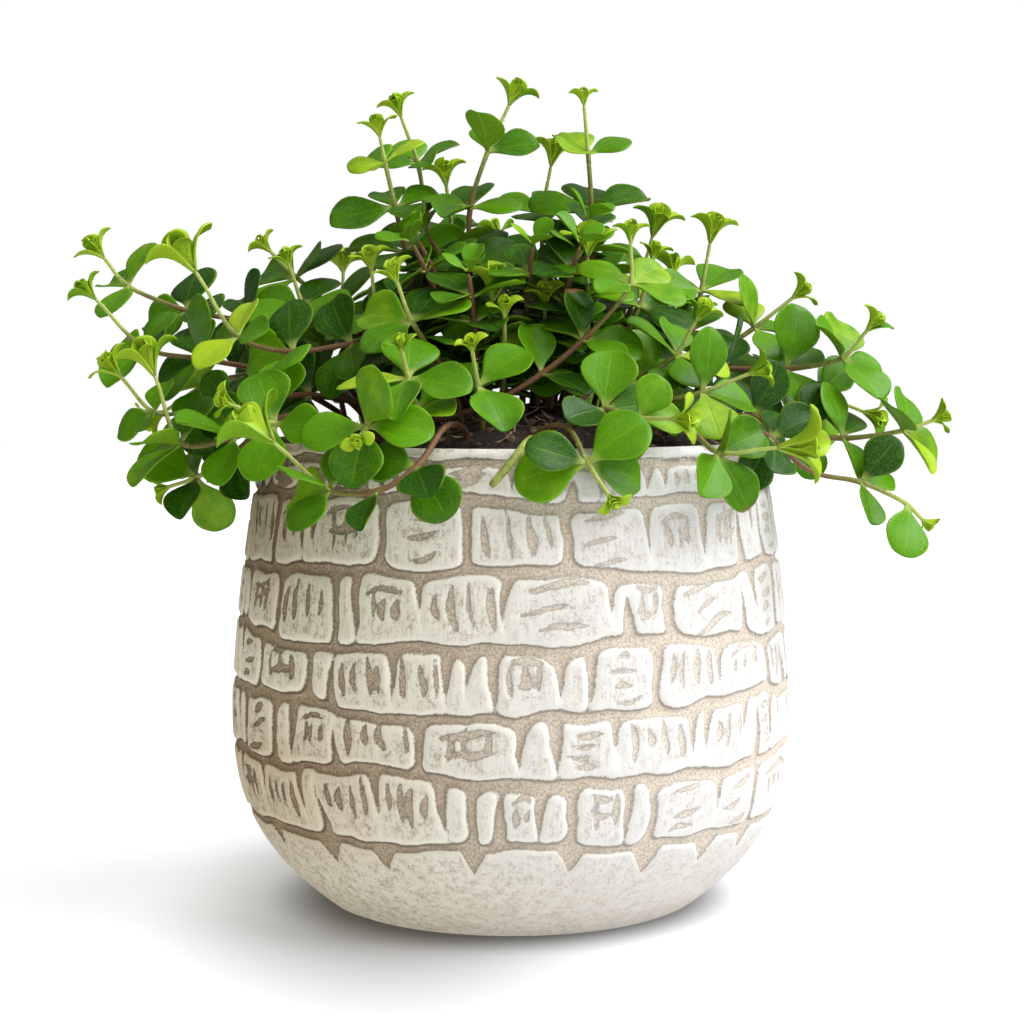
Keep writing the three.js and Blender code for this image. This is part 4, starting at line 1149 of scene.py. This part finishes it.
def along_the_stem(stem):
    """A finer run of the stem's rings: (place, radius, distance from the end)."""
    places = thin_out([ring[0] for ring in stem.rings], COLLAR_HEIGHT * 1.2)
    radius_of = [nearest_radius(stem, place) for place in places]
    spots = []
    for k in range(len(places) - 1):
        count = max(1, round((places[k + 1] - places[k]).length / STEM_SPACING))
        for n in range(count):
            spots.append((through(places, k, n / count), mix(radius_of[k], radius_of[k + 1], n / count)))
    spots.append((places[-1], radius_of[-1]))
    left = 0.0
    run = [(spots[-1][0], spots[-1][1], 0.0)]
    for (place, radius), (after, _) in zip(spots[-2::-1], spots[:0:-1]):
        left += (after - place).length
        run.append((place, radius, left))
    return run[::-1]


def thin_out(places, reach):
    """The places without those that follow within reach: a collar's two rings become one."""
    kept = [places[0]]
    for place in places[1:]:
        if (place - kept[-1]).length < reach:
            kept[-1] = (kept[-1] + place) / 2
        else:
            kept.append(place)
    return kept


def nearest_radius(stem, place):
    ring = min(stem.rings, key=lambda item: (item[0] - place).length)
    return max(ring[1], THINNEST) * 0.98


def through(places, k, share):
    """A place on the smooth curve through the places, a share of the way on from the one numbered k."""
    start, end = places[k], places[k + 1]
    one = (end - places[max(k - 1, 0)]) / 2
    two = (places[min(k + 2, len(places) - 1)] - start) / 2
    s, s2, s3 = share, share ** 2, share ** 3
    return start * (2 * s3 - 3 * s2 + 1) + one * (s3 - 2 * s2 + s) + end * (3 * s2 - 2 * s3) + two * (s3 - s2)


def add_tube(shape, run, sides, ages, slot=STEM_SLOT):
    """A tube along a run of (place, radius, ...), extruded ring by ring and closed at both ends."""
    directions = [(after[0] - before[0]).normalized()
                  for before, after in zip(run[:1] + run, run[1:] + run[-1:])]
    layer = shape.verts.layers.float["age"]
    made = bmesh.ops.create_circle(shape, cap_ends=True, radius=1.0, segments=sides)["verts"]
    made[0].link_faces[0].material_index = slot
    loop = list(dict.fromkeys(edge for point in made for edge in point.link_edges))
    turn = UPWARDS.rotation_difference(directions[0]).to_matrix()
    for point in made:
        point.co = run[0][0] + turn @ point.co * run[0][1]
        point[layer] = ages[0]
    for k in range(1, len(run)):
        grown = bmesh.ops.extrude_edge_only(shape, edges=loop)["geom"]
        points = [item for item in grown if isinstance(item, bmesh.types.BMVert)]
        loop = [item for item in grown if isinstance(item, bmesh.types.BMEdge)]
        for item in grown:
            if isinstance(item, bmesh.types.BMFace):
                item.material_index = slot
        swing = directions[k - 1].rotation_difference(directions[k]).to_matrix()
        middle = sum((point.co for point in points), Vector()) / len(points)
        scale = run[k][1] / run[k - 1][1]
        for point in points:
            point.co = run[k][0] + swing @ (point.co - middle) * scale
            point[layer] = ages[k]
    bmesh.ops.edgeloop_fill(shape, edges=loop, mat_nr=slot)


def stem_age(left):
    """The age of a spot on a stem by its distance from the stem's end."""
    return min(left / AGE_REACH, OLDEST)


def swollen(run, stem):
    """The run with a small swelling at each whorl of leaves."""
    spots = []
    for place, radius, left in run:
        near = min(((place - collar).length for collar in stem.collars), default=1.0)
        spots.append((place, radius * mix(NODE_SWELL, 1.0, min(near / SWELL_REACH, 1.0)), left))
    return spots


def new_plant_shape():
    shape = bmesh.new()
    add_marks(shape)
    return shape


def plant_paints(plant):
    """The materials of a leafy stem: the one numbered STEM_SLOT is its skin."""
    return [leaf_top(plant), leaf_underside(plant), stem_skin(plant)]


def pick(templates, draw):
    return templates[int(next(draw) * 1000) % len(templates)]


def dress_leaves(shape, stem, templates, distance, draw, vigour):
    """All leaves of a stem, each as old as its place on the stem makes it."""
    grown, young = templates
    for blade in stem.blades:
        tone = next(draw)
        age = mix(-0.05, 0.05, tone) if blade["young"] else 0.12 + vigour + stem_age(distance(blade["place"]))
        add_leaf(shape, pick(young if blade["young"] else grown, draw), blade, age, tone)


def dress_heart(shape, stem, young, draw):
    """The shut leaves in the middle of the bud, if the stem ends in one."""
    buds = [blade for blade in stem.blades if blade["young"]]
    if buds:
        size = max(blade["length"] for blade in buds)
        add_folded_heart(shape, young[0], stem.collars[-1], stem.rings[-1][0], size, draw)


def distance_to_end(run):
    def measure(place):
        return min(run, key=lambda spot: (spot[0] - place).length)[2]
    return measure


def rooted(tip):
    """The run of a shoot tip, let into the end of the stem that it stands on."""
    (start, radius), (after, _) = tip.rings[:2]
    below = start + (start - after).normalized() * LET_IN
    return [(below, radius, 0.0)] + [(middle, size, 0.0) for middle, size in tip.rings[:-1]]


class PLANT_OT_leafy_stems(bpy.types.Operator):
    """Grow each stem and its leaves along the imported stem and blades"""

    bl_idname = "plant.leafy_stems"
    bl_label = "Leafy stems"

    def execute(self, context):
        plant = context.scene.plant_growth
        stems, tips = read_plant()
        templates = grown_templates(plant), young_templates(plant)
        paints = plant_paints(plant)
        draw = draws(plant.seed)
        hairs = new_plant_shape()
        for number, stem in stems.items():
            run = swollen(along_the_stem(stem), stem)
            shape = new_plant_shape()
            beyond = tips[number].blades[0]["length"] * 0.5 if number in tips else 0.0
            add_tube(shape, run, plant.sides, [stem_age(left + beyond) for _, _, left in run])
            vigour = mix(-0.02, 0.34, next(draw))
            dress_leaves(shape, stem, templates, distance_to_end(run), draw, vigour)
            dress_heart(shape, stem, templates[1], draw)
            smooth_out(make_piece(
                f"stem_with_leaves_{number}", shape, paints, [f"leafy_stem_{number}"]))
            hairs.from_mesh(stem_hairs(run, plant, draw))
        for number, tip in tips.items():
            run = rooted(tip)
            shape = new_plant_shape()
            add_tube(shape, run, plant.sides, [0.0] * len(run))
            dress_leaves(shape, tip, templates, distance_to_end(run), draw, 0.0)
            dress_heart(shape, tip, templates[1], draw)
            smooth_out(make_piece(f"lime_tip_{number}", shape, paints, [f"shoot_tip_{number}"]))
        make_piece("fine_stem_hairs", hairs, [pale_hair(plant)])
        return {"FINISHED"}


HAIR_RADIUS = 0.045 * MM
BARE_RADIUS = 66.0 * MM
BARE_HEIGHT = 131.0 * MM


def stem_hairs(run, plant, draw):
    """Fine pale hairs all round a stem, standing off its skin, but none down in the soil."""
    shape = new_plant_shape()
    ages = shape.verts.layers.float["age"]
    for (place, radius, left), (after, _, _) in zip(run, run[1:]):
        if math.hypot(place.x, place.y) < BARE_RADIUS and place.z < BARE_HEIGHT:
            continue
        step = after - place
        for _ in range(max(1, round(step.length / (plant.hair_spacing * MM)))):
            out = Matrix.Rotation(TURN * next(draw), 3, step.normalized()) @ step.orthogonal().normalized()
            along = (out + step.normalized() * mix(-0.4, 0.5, next(draw))).normalized()
            length = plant.hair_length * MM * mix(0.5, 1.1, next(draw))
            made = bmesh.ops.create_cone(
                shape, cap_ends=True, segments=3, radius1=HAIR_RADIUS, radius2=0.0, depth=length)["verts"]
            turn = UPWARDS.rotation_difference(along).to_matrix().to_4x4()
            start = place + step * next(draw) + out * radius * 0.9 + along * length / 2
            bmesh.ops.transform(shape, matrix=Matrix.Translation(start) @ turn, verts=made)
            for point in made:
                point[ages] = stem_age(left)
    return as_mesh("stem hairs", shape)


# ---- Short shoots in the middle of the plant


SHOOT_PARTS = 6
SHOOT_REACH = (6.0, 42.0)
SHOOT_AGE = 0.7
WHORL = 3


def inner_shoot(soil, draw, angle):
    """The run of a short shoot that rises out of the soil and leans outwards."""
    reach = mix(*SHOOT_REACH, next(draw))
    height = mix(64.0, 36.0, reach / SHOOT_REACH[1]) * mix(0.85, 1.0, next(draw))
    lean = mix(0.1, 0.4, next(draw))
    out = Vector((math.cos(angle), math.sin(angle), 0.0))
    foot = out * reach
    foot.z = soil_height(soil, foot.x, foot.y) - 2.0
    run = []
    for k in range(SHOOT_PARTS + 1):
        share = k / SHOOT_PARTS
        place = foot + Vector((0.0, 0.0, height * k / SHOOT_PARTS)) + out * lean * height * share ** 2
        run.append((place * MM, mix(1.2, 0.8, share) * MM))
    return run


def dress_inner_shoot(shape, run, templates, draw):
    """Whorls of three old leaves, the last one smaller and more upright."""
    for k in range(1, len(run)):
        place, radius = run[k]
        axis = (place - run[k - 1][0]).normalized()
        last = k == len(run) - 1
        for n in range(WHORL):
            turn = Matrix.Rotation(TURN * (n / WHORL + k / 6 + 0.05 * next(draw)), 3, axis)
            out = turn @ axis.orthogonal().normalized()
            lift = mix(0.7, 1.1, next(draw)) if last else mix(0.05, 0.5, next(draw))
            along = (out + axis * lift).normalized()
            up = (axis - along * axis.dot(along)).normalized()
            length = (mix(8.0, 11.0, next(draw)) if last else mix(13.0, 17.5, next(draw))) * MM
            blade = {"place": place + out * radius * 0.5, "along": along, "up": up,
                     "length": length, "width": 0.78 * length}
            age = mix(0.35, 0.6, next(draw)) if last else mix(0.75, 1.15, next(draw))
            add_leaf(shape, pick(templates, draw), blade, age, next(draw))


class PLANT_OT_inner_shoots(bpy.types.Operator):
    """Fill the middle of the plant with short shoots of old leaves"""

    bl_idname = "plant.inner_shoots"
    bl_label = "Inner shoots"

    def execute(self, context):
        plant, soil = context.scene.plant_growth, context.scene.plant_soil
        templates = grown_templates(plant)
        draw = draws(plant.seed + 8)
        shape = new_plant_shape()
        for k in range(plant.inner_shoots):
            run = inner_shoot(soil, draw, TURN * (k + 0.5 * next(draw)) / plant.inner_shoots)
            add_tube(shape, run, plant.sides, [SHOOT_AGE] * len(run))
            dress_inner_shoot(shape, run, templates, draw)
        smooth_out(make_piece("inner_shoots", shape, plant_paints(plant)))
        return {"FINISHED"}


# ---- The cut stub over the rim


# In millimetres, from the soil to the cut end
STUB_ROUTE = ((10.0, -50.0, 128.0), (6.2, -63.0, 133.4), (3.9, -69.0, 133.0), (2.0, -72.9, 130.7),
              (-1.8, -77.0, 126.3), (-5.5, -80.0, 122.1))
STUB_RADIUS = (1.25, 1.3, 1.25, 1.25, 1.15, 1.2)
STUB_SIDES = 8


class PLANT_OT_cut_stub(bpy.types.Operator):
    """Lay the short cut stem over the front of the rim"""

    bl_idname = "plant.cut_stub"
    bl_label = "Cut stub"

    def execute(self, context):
        plant = context.scene.plant_growth
        places = [Vector(place) * MM for place in STUB_ROUTE]
        run = [(through(places, k, share), mix(STUB_RADIUS[k], STUB_RADIUS[k + 1], share) * MM)
               for k in range(len(places) - 1) for share in (0.0, 0.5)]
        run.append((places[-1], STUB_RADIUS[-1] * MM))
        shape = new_plant_shape()
        add_tube(shape, run, STUB_SIDES, [0.2 + 0.1 * k / len(run) for k in range(len(run))], slot=0)
        smooth_out(make_piece("cut_stub", shape, [stem_skin(plant)]))
        return {"FINISHED"}


# ---- The stage


FLOOR_SIZE = 6.0
FLOOR_TONES = ((0.385, 0.39, 0.405), (0.395, 0.40, 0.415))
# Painted shadow colour of the floor at the pot's foot
CONTACT_SHADOW_COLOUR = (0.07, 0.07, 0.072)
GLOW_COLOUR = (0.97, 0.985, 1.0)
# The share of the glow that lights the pot
BOUNCE = 0.86
# Where the painted shadow lies, a soft patch of weaker glow, and how far it reaches
SHADOW_POOL_MIDDLE = (-0.026, -0.02, 0.0)
SHADOW_POOL_REACH = (0.112, 0.25, 1.0)
# The ring of painted shadow round the foot where the floor darkens: from, to, and how light it is there
CONTACT_SHADOW = (0.046, 0.074, 0.1, 1.0)


def pale_floor(glow):
    """A floor with a painted glow, as of a table lit from below, a little stronger to the camera than onto
    the pot, and with painted shadow: the glow is weaker in a soft patch round the pot's foot and the floor
    dark in a ring at the foot.
    """
    paint = Paint("pale studio floor")
    place = paint.place()
    # Painted shadow: a dark ring at the foot and weaker glow in a soft patch round it
    contact_shadow = paint.step(paint.vector("LENGTH", place, output="Value"), *CONTACT_SHADOW)
    colour = paint.blend(paint.step(paint.grain(3, 2), 0.3, 0.7), *FLOOR_TONES)
    colour = paint.blend(contact_shadow, CONTACT_SHADOW_COLOUR, colour)
    away = paint.vector("DIVIDE", paint.vector("SUBTRACT", place, SHADOW_POOL_MIDDLE), SHADOW_POOL_REACH)
    away = paint.vector("LENGTH", away, output="Value")
    shadow_pool = paint.times(paint.step(away, 0.1, 0.76, 0.1 * glow, glow), contact_shadow)
    seen = paint.add("ShaderNodeLightPath", {}).outputs["Is Camera Ray"]
    return paint.finish(
        Base_Color=colour, Roughness=0.7, Emission_Color=GLOW_COLOUR,
        Emission_Strength=paint.step(seen, 0.0, 1.0, BOUNCE * glow, shadow_pool))


def add_floor(glow):
    shape = bmesh.new()
    bmesh.ops.create_grid(shape, x_segments=1, y_segments=1, size=FLOOR_SIZE / 2)
    mesh = as_mesh("studio_floor", shape)
    mesh.materials.append(pale_floor(glow))
    put_in_scene("studio_floor", mesh)


LIGHTS = (
    # Its name, where it comes from, how broad it is in degrees, its colour, and the setting of its strength
    ("key light", (1.0, -0.08, 1.1), 56.0, (0.97, 0.99, 1.05), "key_strength"),
    ("front fill", (0.45, -1.0, 0.7), 90.0, (1.0, 0.97, 0.91), "fill_strength"),
    ("top light", (0.05, 0.0, 1.0), 120.0, (1.0, 0.96, 0.88), "top_strength"),
)


def add_lights(stage):
    """Broad soft lights: the main one from the right, weaker ones from the front and from above."""
    for name, source, spread, colour, strength in LIGHTS:
        light = bpy.data.lights.new(name, "SUN")
        light.energy = getattr(stage, strength)
        light.angle = math.radians(spread)
        light.color = colour
        put_in_scene(name, light).rotation_euler = Vector(source).to_track_quat("Z", "Y").to_euler()


def add_surround(light):
    """A surround that gives a weak warm light and is seen as plain white."""
    world = bpy.data.worlds.new("white surround")
    world.use_nodes = True
    tree = world.node_tree
    shade = tree.nodes.new("ShaderNodeMix")
    shade.data_type = "RGBA"
    tree.links.new(tree.nodes.new("ShaderNodeLightPath").outputs["Is Camera Ray"], shade.inputs[0])
    for socket, colour in ((6, light), (7, (1.0, 1.0, 1.0))):
        shade.inputs[socket].default_value = (*colour, 1.0)
    tree.links.new(shade.outputs[2], tree.nodes["Background"].inputs["Color"])
    bpy.context.scene.world = world


def add_camera(stage):
    camera = bpy.data.cameras.new("photo camera")
    camera.lens = stage.lens
    camera.sensor_width = 36.0
    camera.clip_start = 0.01
    holder = put_in_scene("photo camera", camera)
    holder.location = (0.0, -stage.distance, stage.height)
    holder.rotation_euler = (math.pi / 2 - stage.pitch, 0.0, 0.0)
    bpy.context.scene.camera = holder


class PLANT_OT_stage(bpy.types.Operator):
    """Set the camera, the pale floor and the soft lights"""

    bl_idname = "plant.stage"
    bl_label = "Stage"

    def execute(self, context):
        stage = context.scene.plant_stage
        add_camera(stage)
        add_floor(stage.floor_glow)
        add_lights(stage)
        add_surround(stage.surround)
        context.scene.view_settings.view_transform = "Standard"
        context.scene.view_settings.look = "None"
        return {"FINISHED"}


# ---- The panel, and the run


class PLANT_PT_potted_plant(bpy.types.Panel):
    """Lists the pieces of the potted plant"""

    bl_label = "Potted plant"
    bl_idname = "PLANT_PT_potted_plant"
    bl_space_type = "VIEW_3D"
    bl_region_type = "UI"
    bl_category = "Potted plant"

    def draw(self, context):
        for group in SETTINGS:
            settings = getattr(context.scene, group)
            box = self.layout.box()
            for name in settings.__annotations__:
                box.prop(settings, name)
        for operator in OPERATORS:
            self.layout.operator(operator.bl_idname)


SETTINGS = {
    "plant_pot": PotSettings,
    "plant_soil": SoilSettings,
    "plant_growth": PlantSettings,
    "plant_stage": StageSettings,
}
OPERATORS = (
    PLANT_OT_stage,
    PLANT_OT_carved_pot,
    PLANT_OT_potting_soil,
    PLANT_OT_leafy_stems,
    PLANT_OT_inner_shoots,
    PLANT_OT_cut_stub,
)
CLASSES = (*SETTINGS.values(), *OPERATORS, PLANT_PT_potted_plant)


def register():
    for item in CLASSES:
        bpy.utils.register_class(item)
    for name, settings in SETTINGS.items():
        setattr(bpy.types.Scene, name, PointerProperty(type=settings))


def unregister():
    for name in SETTINGS:
        delattr(bpy.types.Scene, name)
    for item in reversed(CLASSES):
        bpy.utils.unregister_class(item)


def main():
    register()
    bpy.ops.plant.stage()
    bpy.ops.plant.carved_pot()
    bpy.ops.plant.potting_soil()
    bpy.ops.plant.leafy_stems()
    bpy.ops.plant.inner_shoots()
    bpy.ops.plant.cut_stub()


if __name__ == "__main__":
    main()
